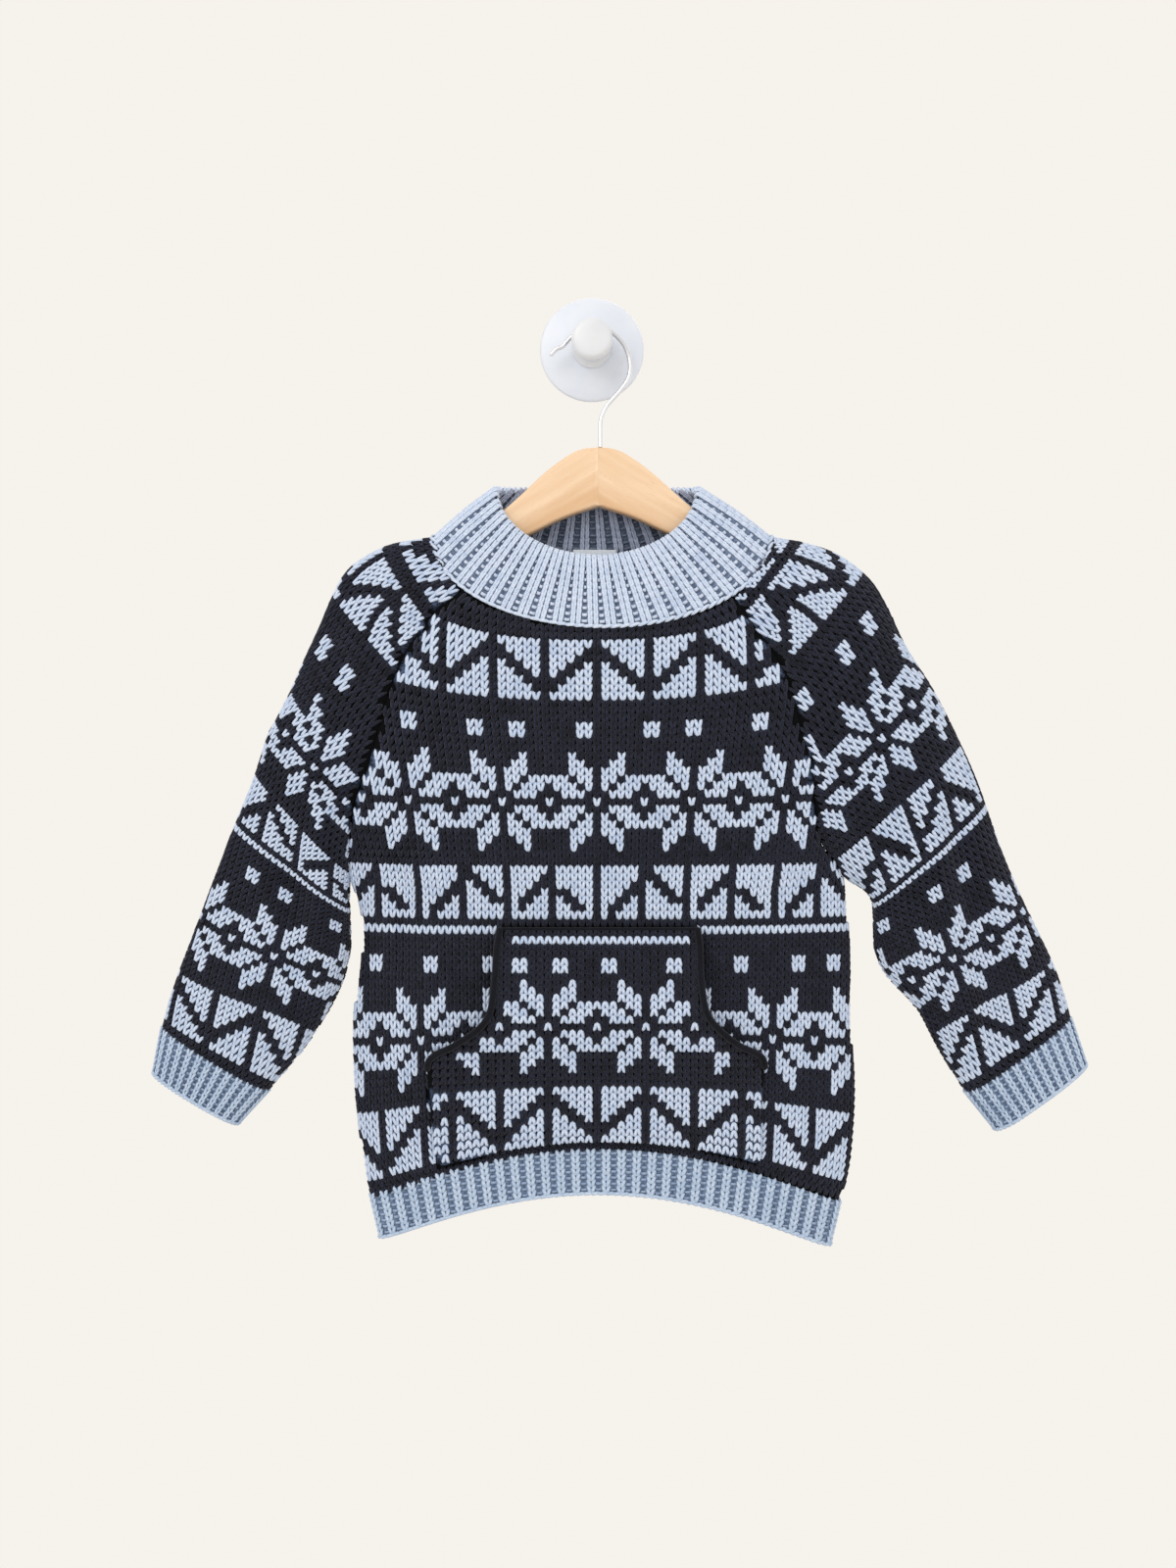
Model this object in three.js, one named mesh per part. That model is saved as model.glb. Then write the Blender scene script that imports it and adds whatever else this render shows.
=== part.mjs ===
// A child's fair isle jumper on a wooden hanger, hung from a round wall hook.
// Millimetres. X to the viewer's right, Y into the wall, Z up. The origin is the
// middle of the hook plate's back face, on the wall.
import * as THREE from 'three';

// Cloth
const WALL = 3.0;              // thickness of the knitted cloth
const SEAM_GAP = 0.3;          // room between two sewn pieces
const NECK_SHIFT = 0.25;       // how far each piece is drawn back from the neck seam
const SEAM_SIDE = 0.28;        // sideways shift of each piece at a raglan seam
const ARCH_POWER = 1.1;        // flatness of a row's rise or dip in the middle
const FOLD_EDGE_FADE = 8;      // how close to a panel's edge its folds die away
const SLEEVE_BACK_FOLD = 0.6;  // share of a sleeve's folds that shows behind
const BACK_NECK_DIP = 1 / 3;   // share of the front's dip that the back rows have
const OVAL = 2.4;              // squareness of the body's and sleeves' cross sections
const RIB_LIFT = 1.3;          // how far a rib stands out from the ground of its band
const FRONT_COLUMNS = 22;
const BACK_COLUMNS = 16;
const SLEEVE_HALF_STEPS = 9;   // steps from a raglan seam round to the sleeve's outer edge

// Rows of the body, from the neck to the hem seam, the same for front and back.
// Columns: left end x and z, right end x and z, front edge y and how far its middle
// stands before that, back edge y and how far its middle stands behind it, how far the
// back seam lies above the front one, roundness of the edge, and rise of the middle.
const BODY_COLUMNS = ['leftX', 'leftZ', 'rightX', 'rightZ', 'frontY', 'frontBulge',
  'backY', 'backBulge', 'backLift', 'round', 'rise'];
const BODY_ROWS = table(BODY_COLUMNS, [
  [-86.4, -171.2, 90.9, -172.5, -34, 7, -8, 1, 32, 0, -25],
  [-104.7, -185.5, 105.1, -190.1, -37, 6, -6, 1, 27, 0, -21],
  [-113.7, -198.3, 116.8, -206.2, -38, 6, -6, 1, 24, 0, -17],
  [-124.2, -212.2, 129.2, -226.1, -39, 6, -6, 1, 20, 0, -12],
  [-132.0, -228.1, 137.0, -247.9, -39, 6, -7, 2, 17, 0, -8],
  [-139.7, -249.9, 141.5, -267.1, -39, 6, -8, 3, 14, 0, -5],
  [-145.7, -271.7, 147.4, -286.8, -39, 6, -9, 4, 10, 0, -3],
  [-152.2, -293.4, 150.0, -303.3, -38, 7, -10, 5, 7, 0.1, -1],
  [-159.6, -311.8, 151.5, -323.1, -36, 9, -12, 8, 4, 0.3, 0],
  [-163.6, -329.1, 156.1, -343.0, -33, 12, -15, 11, 2, 0.6, 0],
  [-166.0, -362.0, 170.5, -364.0, -24, 21, -24, 20, 0, 1, 0],
  [-157.5, -390.0, 174.0, -392.0, -24, 21, -24, 20, 0, 1, 0],
  [-157.0, -424.0, 176.0, -425.0, -24.5, 21, -24.5, 20, 0, 1, 0],
  [-162.0, -457.0, 175.5, -458.0, -25, 21, -25, 20, 0, 1, 2],
  [-162.5, -491.0, 178.0, -492.0, -25, 21, -25, 20, 0, 1, 7],
  [-160.0, -524.0, 179.5, -525.0, -25.5, 21, -25.5, 20, 0, 1, 17],
  [-156.0, -556.0, 176.5, -558.0, -26, 21, -26, 20, 0, 1, 28],
  [-151.0, -582.0, 169.0, -587.0, -26, 21, -26, 20, 0, 1, 37],
]);
const UNDERARM = 10;           // the row at which the raglan seams end

// Neck seam: an oval seen from the front, lower before than behind.
const NECK = { left: -109.3, right: 123.4, sideZ: -134, frontDip: 64, backDip: 10,
  y: -18, front: 23, back: 14 };
const RING_FULLNESS = 0.6;     // lower is squarer, seen from above
const NECK_FRONT = { left: -54.4, right: 49.6 };   // degrees from the middle of the front
const NECK_BACK = { left: -125.6, right: 130.4 };

// Sections of each sleeve. The first ones start on the raglan seam, which gives their
// front and back ends; below the underarm they close at an inner point of their own.
// Columns: outer x and z, inner x and z (0 where the seam gives it), middle y,
// half depth, and how far the section is closed.
const SLEEVE_COLUMNS = ['outerX', 'outerZ', 'innerX', 'innerZ', 'midY', 'bulge', 'closed'];
const LEFT_SLEEVE = table(SLEEVE_COLUMNS, [
  [-109.3, -134.0, 0, 0, -18, 0, 0],
  [-137.5, -139.5, 0, 0, -19, 2, 0],
  [-157.7, -149.7, 0, 0, -19.5, 3, 0],
  [-169.7, -160.6, 0, 0, -20, 3, 0],
  [-179.0, -178.8, 0, 0, -20.5, 4, 0],
  [-186.3, -196.4, 0, 0, -21, 4, 0],
  [-197.6, -221.3, 0, 0, -21.5, 5, 0],
  [-207.6, -244.2, 0, 0, -22, 7, 0.1],
  [-215.5, -259.7, 0, 0, -23, 9, 0.3],
  [-221.4, -271.1, 0, 0, -23.5, 12, 0.6],
  [-229.3, -296.6, 0, 0, -24, 19, 1],
  [-239.4, -322.0, -166.6, -381.0, -24, 19, 1],
  [-249.4, -346.9, -166.0, -400.5, -24, 19, 1],
  [-260.2, -375.7, -166.0, -417.5, -24, 19, 1],
  [-270.9, -403.8, -170.3, -436.0, -24, 19, 1],
  [-281.0, -430.7, -180.4, -457.5, -24, 19, 1],
  [-288.3, -452.1, -198.5, -485.6, -24, 18.5, 1],
  [-292.5, -468.5, -221.3, -511.8, -24, 17, 1],
]);
const RIGHT_SLEEVE = table(SLEEVE_COLUMNS, [
  [123.4, -134.0, 0, 0, -18, 0, 0],
  [146.9, -138.8, 0, 0, -19, 2, 0],
  [169.0, -147.0, 0, 0, -19.5, 3, 0],
  [189.1, -162.6, 0, 0, -20, 3, 0],
  [200.4, -180.2, 0, 0, -20.5, 4, 0],
  [213.1, -207.1, 0, 0, -21, 4, 0],
  [222.4, -222.6, 0, 0, -21.5, 5, 0],
  [231.0, -236.1, 0, 0, -22, 7, 0.1],
  [238.9, -250.9, 0, 0, -23, 9, 0.3],
  [245.4, -264.4, 0, 0, -23.5, 12, 0.6],
  [257.4, -289.9, 0, 0, -24, 19, 1],
  [265.4, -310.0, 190.3, -379.7, -24, 19, 1],
  [276.8, -343.5, 193.0, -397.1, -24, 19, 1],
  [290.2, -375.7, 194.3, -417.2, -24, 19, 1],
  [303.0, -402.5, 202.4, -434.7, -24, 19, 1],
  [314.3, -426.6, 222.5, -456.8, -24, 19, 1],
  [321.1, -445.4, 237.3, -484.3, -24, 18.5, 1],
  [325.7, -462.2, 255.4, -513.1, -24, 17, 1],
]);

// Soft folds: a ridge (height over 0) or a trough (under 0) from one point to another.
const FOLD_COLUMNS = ['x1', 'z1', 'x2', 'z2', 'width', 'height'];
const FRONT_FOLDS = table(FOLD_COLUMNS, [
  [-111, -355, -112, -490, 15, 3.5],
  [-130, -345, -131, -420, 9, -2.5],
  [-150, -335, -95, -372, 11, 3],
  [155, -335, 105, -375, 11, 3],
  [150, -390, 150, -520, 16, -2.5],
]);
const BACK_FOLDS = table(FOLD_COLUMNS, [
  [-100, -360, -90, -500, 17, -3],
  [95, -350, 105, -480, 17, -3],
  [10, -420, 0, -560, 22, -2],
]);
const SLEEVE_FOLDS = table(FOLD_COLUMNS, [
  [-187, -330, -178, -436, 11, 4],
  [-203, -340, -200, -445, 9, -3.5],
  [-196, -290, -170, -345, 10, 3],
  [226, -300, 256, -500, 12, 4],
  [242, -330, 270, -480, 9, -3.5],
  [205, -290, 175, -350, 10, 3],
]);

// Ribbed bands
const RIB_PROFILE = [0, 1, 1];     // ground, rib, rib: three points across each rib
const HEM_RIBS = 66;
const CUFF_RIBS = 16;
const COLLAR_RIBS = 44;
const BAND_STEPS = 2;
const HEM = { length: 30, middleX: 9, scale: 0.955 };
const CUFFS = {
  left: { move: [-13.7, 0, -27.6], scale: 0.79 },
  right: { move: [15.8, 0, -29.2], scale: 0.86 },
};
// Rings of the collar above the neck seam: how far up, ends, height of the ends, dips
// of the middle before and behind, and half depths before and behind.
const COLLAR_COLUMNS = ['left', 'right', 'sideZ', 'frontDip', 'backDip', 'y', 'front', 'back'];
const COLLAR_RINGS = table(COLLAR_COLUMNS, [
  [-89.0, 99.5, -116.0, 59, 5, -18, 22, 14.0],
  [-67.5, 74.1, -100.0, 51, 0, -18, 19, 14.0],
]);

// Kangaroo pocket: left and right ends by height, how far its middle and its ends stand
// off the front panel. Its last row follows the hem seam.
const POCKET_COLUMNS = ['z', 'left', 'right', 'middleLift', 'endLift'];
const POCKET_ROWS = table(POCKET_COLUMNS, [
  [-400.0, -61.5, 70.5, 0, 0],
  [-414.0, -63.5, 71.8, 4.8, 4.4],
  [-431.0, -64.5, 72.2, 7.4, 6.4],
  [-454.0, -67.5, 75.5, 8.4, 7.2],
  [-468.0, -76.0, 84.5, 8.4, 6.6],
  [-480.0, -92.0, 97.5, 7.8, 4.6],
  [-491.0, -109.0, 114.5, 6.4, 0],
  [-514.0, -109.0, 114.0, 4.6, 0],
  [-540.0, -105.5, 112.5, 2.6, 0],
  [-566.0, -101.0, 110.5, 0, 0],
]);
const POCKET_RISE = 0.62;      // share of the cloth's own rise that the pocket's rows follow
const POCKET_COLUMNS_ACROSS = 14;
const POCKET_FOOT = 3.5;       // height of the pocket's foot above the hem seam
const POCKET_ROW_LEAST = 4;    // least height between two of its rows
const POCKET_CLEAR = 0.25;     // room that the flat faces of the two cloths need besides

// Neck label: its middle and width as shares of the back neck seam, and its two edges as
// shares of the way to the back panel's next row.
const LABEL = { middle: 0.5, share: 0.145, down: [0.12, 0.6], thick: 0.6, columns: 4 };

// Wooden hanger: half of its outline, as distance from its middle and height.
const HANGER = { x: 4, y: -17.6, thick: 11, tilt: 0.5, jointGap: 0.3, bevel: 2 };
const HANGER_TOP = [[0, -72.5], [10, -73.3], [20, -77.5], [36, -89], [53, -104.5],
  [66, -115.5], [84, -128], [98, -137.2], [109, -143], [120, -146.8], [133, -149.6], [146, -153.8]];
const HANGER_TIP = [[151.5, -158], [152, -162.5], [148, -165.5]];
const HANGER_UNDER = [[120, -158.5], [85, -147.5], [53, -134.5], [25, -121], [0, -112.5]];

// Wire hook
const WIRE = { radius: 1.5, y: -18, sides: 8, steps: 44 };
const WIRE_STEM_FOOT = -71.6;
const WIRE_POINTS = [[-28.3, -8], [-24.6, -4.2], [-20.2, -2.2], [-15.2, 3.2], [-7.5, 9.0],
  [2, 11.4], [12.5, 8.0], [21.6, -0.6], [26, -12.4], [25.2, -23.4], [18.9, -33.2],
  [10.2, -43.2], [6.2, -52.4], [5.8, -62], [5.8, WIRE_STEM_FOOT]];

// Wall hook: a round plate and a knob turned about the Y axis, as radius and depth.
const TURN_STEPS = 40;
const PLATE_PROFILE = [[0, -5], [33, -4.4], [35.6, -3], [36.3, -1.2], [36, 0], [0, 0]];
const KNOB_PROFILE = [[0, -32.8], [10.5, -32], [13.4, -30.2], [14.2, -27.5], [13.6, -25],
  [11.5, -22.8], [9.5, -20.5], [9.5, -10], [10.5, -7.5], [13, -5.3], [0, -5.3]];

// Finishes
const NAVY_KNIT = cloth(0x2f313d);
const BLUE_KNIT = cloth(0xb7cbe1);
const LABEL_CLOTH = cloth(0xe9edf2);
const BIRCH = new THREE.MeshStandardMaterial({ color: 0xeec592, roughness: 0.55 });
const STEEL_WIRE = new THREE.MeshStandardMaterial({ color: 0xb9bcc2, roughness: 0.25, metalness: 1 });
const WHITE_PLASTIC = new THREE.MeshStandardMaterial({ color: 0xf0f2f5, roughness: 0.35 });

function cloth(color) {
  return new THREE.MeshStandardMaterial({ color, roughness: 0.95, metalness: 0 });
}

function table(columns, rows) {
  return rows.map((row) => Object.fromEntries(columns.map((name, i) => [name, row[i]])));
}

const mix = (a, b, t) => a + (b - a) * t;
const signedPower = (value, power) => Math.sign(value) * Math.abs(value) ** power;
const roundEdge = (s) => (1 - Math.min(1, Math.abs(s)) ** OVAL) ** (1 / OVAL);

// How far the folds of a list lift the cloth at a point, seen from the front.
function foldLift(folds, x, z) {
  let lift = 0;
  for (const fold of folds) {
    const dx = fold.x2 - fold.x1;
    const dz = fold.z2 - fold.z1;
    const along = ((x - fold.x1) * dx + (z - fold.z1) * dz) / (dx * dx + dz * dz);
    const t = THREE.MathUtils.clamp(along, 0, 1);
    const away = Math.hypot(x - fold.x1 - t * dx, z - fold.z1 - t * dz) / fold.width;
    lift += fold.height * Math.exp(-away * away);
  }
  return lift;
}

// A point of the neck seam, or of a collar ring; the angle is 0 at the front middle and
// grows to the right, all the way round.
function ringPoint(ring, degrees) {
  const angle = THREE.MathUtils.degToRad(degrees);
  const middle = (ring.left + ring.right) / 2;
  const ahead = Math.cos(angle);
  const depth = ahead > 0 ? -ring.front * ahead ** RING_FULLNESS : ring.back * (-ahead) ** RING_FULLNESS;
  const dip = ahead > 0 ? ring.frontDip * ahead : ring.backDip * -ahead;
  const x = middle + Math.sin(angle) * (ring.right - ring.left) / 2;
  return new THREE.Vector3(x, ring.y + depth, ring.sideZ - dip);
}

// A point of the front (side -1) or back (side 1) on one row; u runs from -1 to 1.
function bodyPoint(row, u, side) {
  const even = signedPower(Math.sin(u * Math.PI / 2), 2 / OVAL);
  const s = mix(u, even, row.round);
  const back = side > 0 ? row.backLift : 0;
  const dip = side > 0 && row.rise < 0 ? row.rise * BACK_NECK_DIP : row.rise;
  const x = mix(row.leftX, row.rightX, (s + 1) / 2);
  const z = mix(row.leftZ, row.rightZ, (s + 1) / 2) + back + dip * (1 - s * s) ** ARCH_POWER;
  const profile = mix(1 - s * s, roundEdge(s), row.round);
  const edge = side > 0 ? row.backY : row.frontY;
  const bulge = side > 0 ? row.backBulge : row.frontBulge;
  const fade = 1 - s ** FOLD_EDGE_FADE;
  const fold = foldLift(side > 0 ? BACK_FOLDS : FRONT_FOLDS, x, z) * fade;
  return new THREE.Vector3(x, edge + side * bulge * profile + (side > 0 ? fold : -fold), z);
}

function bodyGrid(side, columns) {
  const angles = side > 0
    ? [NECK_BACK.left, NECK_BACK.right - 360]
    : [NECK_FRONT.left, NECK_FRONT.right];
  return BODY_ROWS.map((row, r) => Array.from({ length: columns + 1 }, (_, c) => {
    const t = c / columns;
    return r === 0
      ? ringPoint(NECK, mix(angles[0], angles[1], t))
      : bodyPoint(row, 2 * t - 1, side);
  }));
}

// One sleeve: each section runs from the front seam round the outer edge to the back seam.
function sleeveGrid(sections, front, back, column) {
  const last = 2 * SLEEVE_HALF_STEPS;
  return sections.map((section, k) => {
    const seam = k <= UNDERARM;
    const inner = new THREE.Vector3(section.innerX, section.midY, section.innerZ);
    const start = seam ? front[k][column(front[k])] : inner;
    const end = seam ? back[k][column(back[k])] : inner;
    const outer = new THREE.Vector3(section.outerX, section.midY, section.outerZ);
    return Array.from({ length: last + 1 }, (_, j) => {
      if (j === 0) return start.clone();
      if (j === last) return (k >= UNDERARM ? start : end).clone();
      if (k === 0) return ringPoint(NECK, neckAngle(j / last, section.outerX < 0));
      const ahead = j <= SLEEVE_HALF_STEPS;
      const t = ahead ? j / SLEEVE_HALF_STEPS : (last - j) / SLEEVE_HALF_STEPS;
      return sectionPoint(section, ahead ? start : end, outer, t, ahead ? -1 : 1);
    });
  });
}

function neckAngle(t, left) {
  const ends = left ? [NECK_FRONT.left, -90, NECK_BACK.left] : [NECK_FRONT.right, 90, NECK_BACK.right];
  return t < 0.5 ? mix(ends[0], ends[1], 2 * t) : mix(ends[1], ends[2], 2 * t - 1);
}

function sectionPoint(section, seam, outer, t, side) {
  const turn = Math.cos(Math.PI * t);
  const open = Math.sin(Math.PI * t / 2) ** (2 / OVAL);
  const shut = (1 - signedPower(turn, 2 / OVAL)) / 2;
  const s = mix(open, shut, section.closed);
  const fall = Math.abs(Math.cos(Math.PI * t / 2)) ** (2 / OVAL);
  const bulge = section.bulge * Math.sin(Math.PI * t) ** (2 / OVAL);
  const point = new THREE.Vector3().lerpVectors(seam, outer, s);
  point.y = section.midY + (seam.y - section.midY) * fall + side * bulge;
  const fold = foldLift(SLEEVE_FOLDS, point.x, point.z) * Math.sin(Math.PI * t);
  point.y += side * fold * (side > 0 ? SLEEVE_BACK_FOLD : 1);
  return point;
}

const keyOf = (p) => [p.x, p.y, p.z].map((v) => v.toFixed(3)).join(' ');

function quads(grid, flip, visit) {
  for (let r = 0; r + 1 < grid.length; r += 1) {
    for (let c = 0; c + 1 < grid[r].length; c += 1) {
      const corners = [[r, c], [r + 1, c], [r + 1, c + 1], [r, c + 1]];
      visit(flip ? corners.reverse() : corners);
    }
  }
}

// Normals of all the pieces together, so that two pieces agree at their seam. A piece at
// an underarm keeps its own there, because the cloth turns sharply.
function jointNormals(pieces, sharp) {
  const sums = new Map();
  const name = (p, tag) => (sharp.has(keyOf(p)) ? `${keyOf(p)} ${tag}` : keyOf(p));
  for (const { grid, flip, tag } of pieces) {
    quads(grid, flip, (corners) => {
      const [a, b, c, d] = corners.map(([r, k]) => grid[r][k]);
      const normal = new THREE.Vector3().crossVectors(
        new THREE.Vector3().subVectors(c, a), new THREE.Vector3().subVectors(d, b));
      for (const p of [a, b, c, d]) {
        const key = name(p, tag);
        if (!sums.has(key)) sums.set(key, new THREE.Vector3());
        sums.get(key).add(normal);
      }
    });
  }
  for (const piece of pieces) {
    piece.normals = piece.grid.map((row) => row.map((p) => sums.get(name(p, piece.tag)).clone().normalize()));
  }
}

// A closed solid from a grid of outer points: the grid, the same grid moved in by the
// thickness, and a rim wherever the grid has an edge.
function wallSolid({ grid, normals, flip, lift = () => 0 }, thick) {
  const index = new Map();
  const outer = [];
  const inner = [];
  const faces = [];
  const at = (r, c) => {
    const key = keyOf(grid[r][c]);
    if (!index.has(key)) {
      index.set(key, outer.length);
      outer.push(grid[r][c].clone().addScaledVector(normals[r][c], lift(r, c)));
      inner.push(grid[r][c].clone().addScaledVector(normals[r][c], -thick));
    }
    return index.get(key);
  };
  quads(grid, flip, (corners) => {
    const [a, b, c, d] = corners.map(([r, k]) => at(r, k));
    faces.push([a, b, c], [a, c, d]);
  });
  const count = outer.length;
  const edges = new Set(faces.flatMap(([a, b, c]) => [`${a} ${b}`, `${b} ${c}`, `${c} ${a}`]));
  const triangles = faces.flatMap(([a, b, c]) => [[a, b, c], [a + count, c + count, b + count]]);
  for (const edge of edges) {
    const [a, b] = edge.split(' ').map(Number);
    if (!edges.has(`${b} ${a}`)) triangles.push([b, a, a + count], [b, a + count, b + count]);
  }
  const positions = [...outer, ...inner].flatMap((p) => [p.x, p.y, p.z]);
  const geometry = new THREE.BufferGeometry();
  geometry.setAttribute('position', new THREE.Float32BufferAttribute(positions, 3));
  geometry.setIndex(triangles.flat());
  return geometry;
}

function named(name, geometry, material) {
  const mesh = new THREE.Mesh(geometry, material);
  mesh.name = name;
  return mesh;
}

const toward = (from, to, distance) => new THREE.Vector3().subVectors(to, from).setLength(distance);

// Moves the edge points of a piece into it, so that a gap opens at each seam.
function openSeams({ grid }, shift) {
  const neck = grid[0].map((p, c) => toward(p, grid[1][c], NECK_SHIFT));
  grid.forEach((row, r) => row.forEach((p, c) => p.add(shift(r, c, row.length - 1))));
  grid[0].forEach((p, c) => p.add(neck[c]));
}

const half = SEAM_GAP / 2;
const lastRow = BODY_ROWS.length - 1;

function bodyShift(side) {
  return (r, c, last) => {
    const edge = c === 0 ? 1 : c === last ? -1 : 0;
    const x = r <= UNDERARM ? edge * SEAM_SIDE : 0;
    const y = r >= UNDERARM && edge !== 0 ? side * half : 0;
    const z = r === lastRow ? half : 0;
    return new THREE.Vector3(x, y, z);
  };
}

function sleeveShift(outward) {
  return (k, j, last) => {
    const edge = (j === 0 || j === last) && k <= UNDERARM;
    return new THREE.Vector3(edge ? outward * SEAM_SIDE : 0, 0, 0);
  };
}

// Points spread evenly along a line of points and normals, with both of its ends.
function alongLine(line, steps) {
  const lengths = [0];
  for (let i = 1; i < line.length; i += 1) {
    lengths.push(lengths[i - 1] + line[i].p.distanceTo(line[i - 1].p));
  }
  const last = line.length - 2;
  return Array.from({ length: steps + 1 }, (_, i) => {
    const d = lengths[line.length - 1] * i / steps;
    const k = lengths.findIndex((length, n) => n === last || lengths[n + 1] > d);
    const t = (d - lengths[k]) / (lengths[k + 1] - lengths[k]);
    return {
      p: line[k].p.clone().lerp(line[k + 1].p, t),
      n: line[k].n.clone().lerp(line[k + 1].n, t).normalize(),
    };
  });
}

// Points spread evenly round a closed loop; the last one meets the first.
const roundLoop = (loop, steps) => alongLine([...loop, loop[0]], steps);

// A ribbed band: rows of points from one edge to the other, with ribs raised.
function ribbedBand(rows, normals, flip) {
  const lift = (r, c) => RIB_LIFT * RIB_PROFILE[c % RIB_PROFILE.length];
  return wallSolid({ grid: rows, normals, flip, lift }, WALL);
}

function endBand(base, away, place, flip) {
  const rows = Array.from({ length: BAND_STEPS + 1 }, (_, i) => base.map(({ p }) => {
    const t = i / BAND_STEPS;
    return place(p, t).addScaledVector(away, SEAM_GAP);
  }));
  return ribbedBand(rows, rows.map(() => base.map(({ n }) => n)), flip);
}

const front = { grid: bodyGrid(-1, FRONT_COLUMNS), flip: false, tag: 'body' };
const back = { grid: bodyGrid(1, BACK_COLUMNS), flip: true, tag: 'body' };
for (let r = UNDERARM; r < back.grid.length; r += 1) {
  back.grid[r][0].copy(front.grid[r][0]);
  back.grid[r][BACK_COLUMNS].copy(front.grid[r][FRONT_COLUMNS]);
}
const leftSleeve = {
  grid: sleeveGrid(LEFT_SLEEVE, front.grid, back.grid, () => 0), flip: true, tag: 'left',
};
const rightSleeve = {
  grid: sleeveGrid(RIGHT_SLEEVE, front.grid, back.grid, (row) => row.length - 1), flip: false, tag: 'right',
};
const underarms = new Set([front.grid[UNDERARM][0], front.grid[UNDERARM][FRONT_COLUMNS]].map(keyOf));
jointNormals([front, back, leftSleeve, rightSleeve], underarms);

// The neck and cuff loops and the hem's two lines, before the seams are opened.
const pairs = (piece, r) => piece.grid[r].map((p, c) => ({ p: p.clone(), n: piece.normals[r][c].clone() }));
const neckLoop = [
  ...pairs(front, 0).slice(0, -1), ...pairs(rightSleeve, 0).slice(0, -1),
  ...pairs(back, 0).reverse().slice(0, -1), ...pairs(leftSleeve, 0).reverse().slice(0, -1),
];
const hemLines = [pairs(front, lastRow), pairs(back, lastRow).reverse()];
const cuffLoop = (piece) => pairs(piece, piece.grid.length - 1).slice(0, -1);

// The pocket lies on the front panel: its points are the panel's, moved out.
function frontAt(x, z) {
  const inRow = (row) => {
    const s = THREE.MathUtils.clamp(2 * (x - row.leftX) / (row.rightX - row.leftX) - 1, -1, 1);
    const u = Math.asin(signedPower(s, OVAL / 2)) * 2 / Math.PI;
    return bodyPoint(row, mix(s, u, row.round), -1);
  };
  let r = UNDERARM;
  while (r + 2 < BODY_ROWS.length && inRow(BODY_ROWS[r + 1]).z > z) r += 1;
  const above = inRow(BODY_ROWS[r]);
  const below = inRow(BODY_ROWS[r + 1]);
  return above.lerp(below, (z - above.z) / (below.z - above.z));
}

function clothRise(x, z) {
  const first = BODY_ROWS[UNDERARM + 3];
  const last = BODY_ROWS[lastRow];
  const s = (2 * x - last.leftX - last.rightX) / (last.rightX - last.leftX);
  const down = THREE.MathUtils.clamp((z - first.leftZ) / (last.leftZ - first.leftZ), 0, 1);
  return last.rise * down * Math.max(0, 1 - s * s) ** ARCH_POWER;
}

function pocketSolid() {
  const grid = POCKET_ROWS.map((row, r) => Array.from({ length: POCKET_COLUMNS_ACROSS + 1 }, (_, c) => {
    const t = c / POCKET_COLUMNS_ACROSS;
    const x = mix(row.left, row.right, t);
    const foot = BODY_ROWS[lastRow].leftZ + clothRise(x, BODY_ROWS[lastRow].leftZ) + POCKET_FOOT;
    const least = foot + POCKET_ROW_LEAST * (POCKET_ROWS.length - 1 - r);
    const level = Math.max(row.z + POCKET_RISE * clothRise(x, row.z), least);
    const point = frontAt(x, r === POCKET_ROWS.length - 1 ? foot : level);
    const s = 2 * t - 1;
    const lift = mix(row.middleLift, row.endLift, s * s);
    point.y -= WALL + SEAM_GAP + POCKET_CLEAR + lift;
    return point;
  }));
  const piece = { grid, flip: false, tag: 'pocket' };
  jointNormals([piece], new Set());
  return wallSolid(piece, WALL);
}

// The label lies on the inside of the back panel: its points are the panel's, moved in.
function labelSolid() {
  const across = (row, t) => {
    const place = t * BACK_COLUMNS;
    const c = Math.min(Math.floor(place), BACK_COLUMNS - 1);
    return row[c].clone().lerp(row[c + 1], place - c);
  };
  const grid = LABEL.down.map((down) => Array.from({ length: LABEL.columns + 1 }, (_, c) => {
    const t = LABEL.middle + LABEL.share * (c / LABEL.columns - 0.5);
    const point = across(back.grid[0], t).lerp(across(back.grid[1], t), down);
    point.y -= WALL + SEAM_GAP + LABEL.thick;
    return point;
  }));
  const piece = { grid, flip: false, tag: 'label' };
  jointNormals([piece], new Set());
  return wallSolid(piece, LABEL.thick);
}

function collarSolid() {
  const base = roundLoop(neckLoop, COLLAR_RIBS * RIB_PROFILE.length);
  const middle = (NECK.left + NECK.right) / 2;
  const reach = (NECK.right - NECK.left) / 2;
  const angles = base.map(({ p }) => {
    const across = Math.asin(THREE.MathUtils.clamp((p.x - middle) / reach, -1, 1));
    const degrees = THREE.MathUtils.radToDeg(across);
    return p.y > NECK.y ? 180 - degrees : degrees;
  });
  const upper = COLLAR_RINGS.map((ring) => angles.map((angle) => ringPoint(ring, angle)));
  const rings = [base.map(({ p }, i) => p.clone().add(toward(p, upper[0][i], NECK_SHIFT))), ...upper];
  const piece = { grid: rings, flip: true, tag: 'collar' };
  jointNormals([piece], new Set());
  const normals = piece.normals.map((row, r) => (r === 0 ? base.map(({ n }) => n) : row));
  return ribbedBand(rings, normals, true);
}

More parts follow.
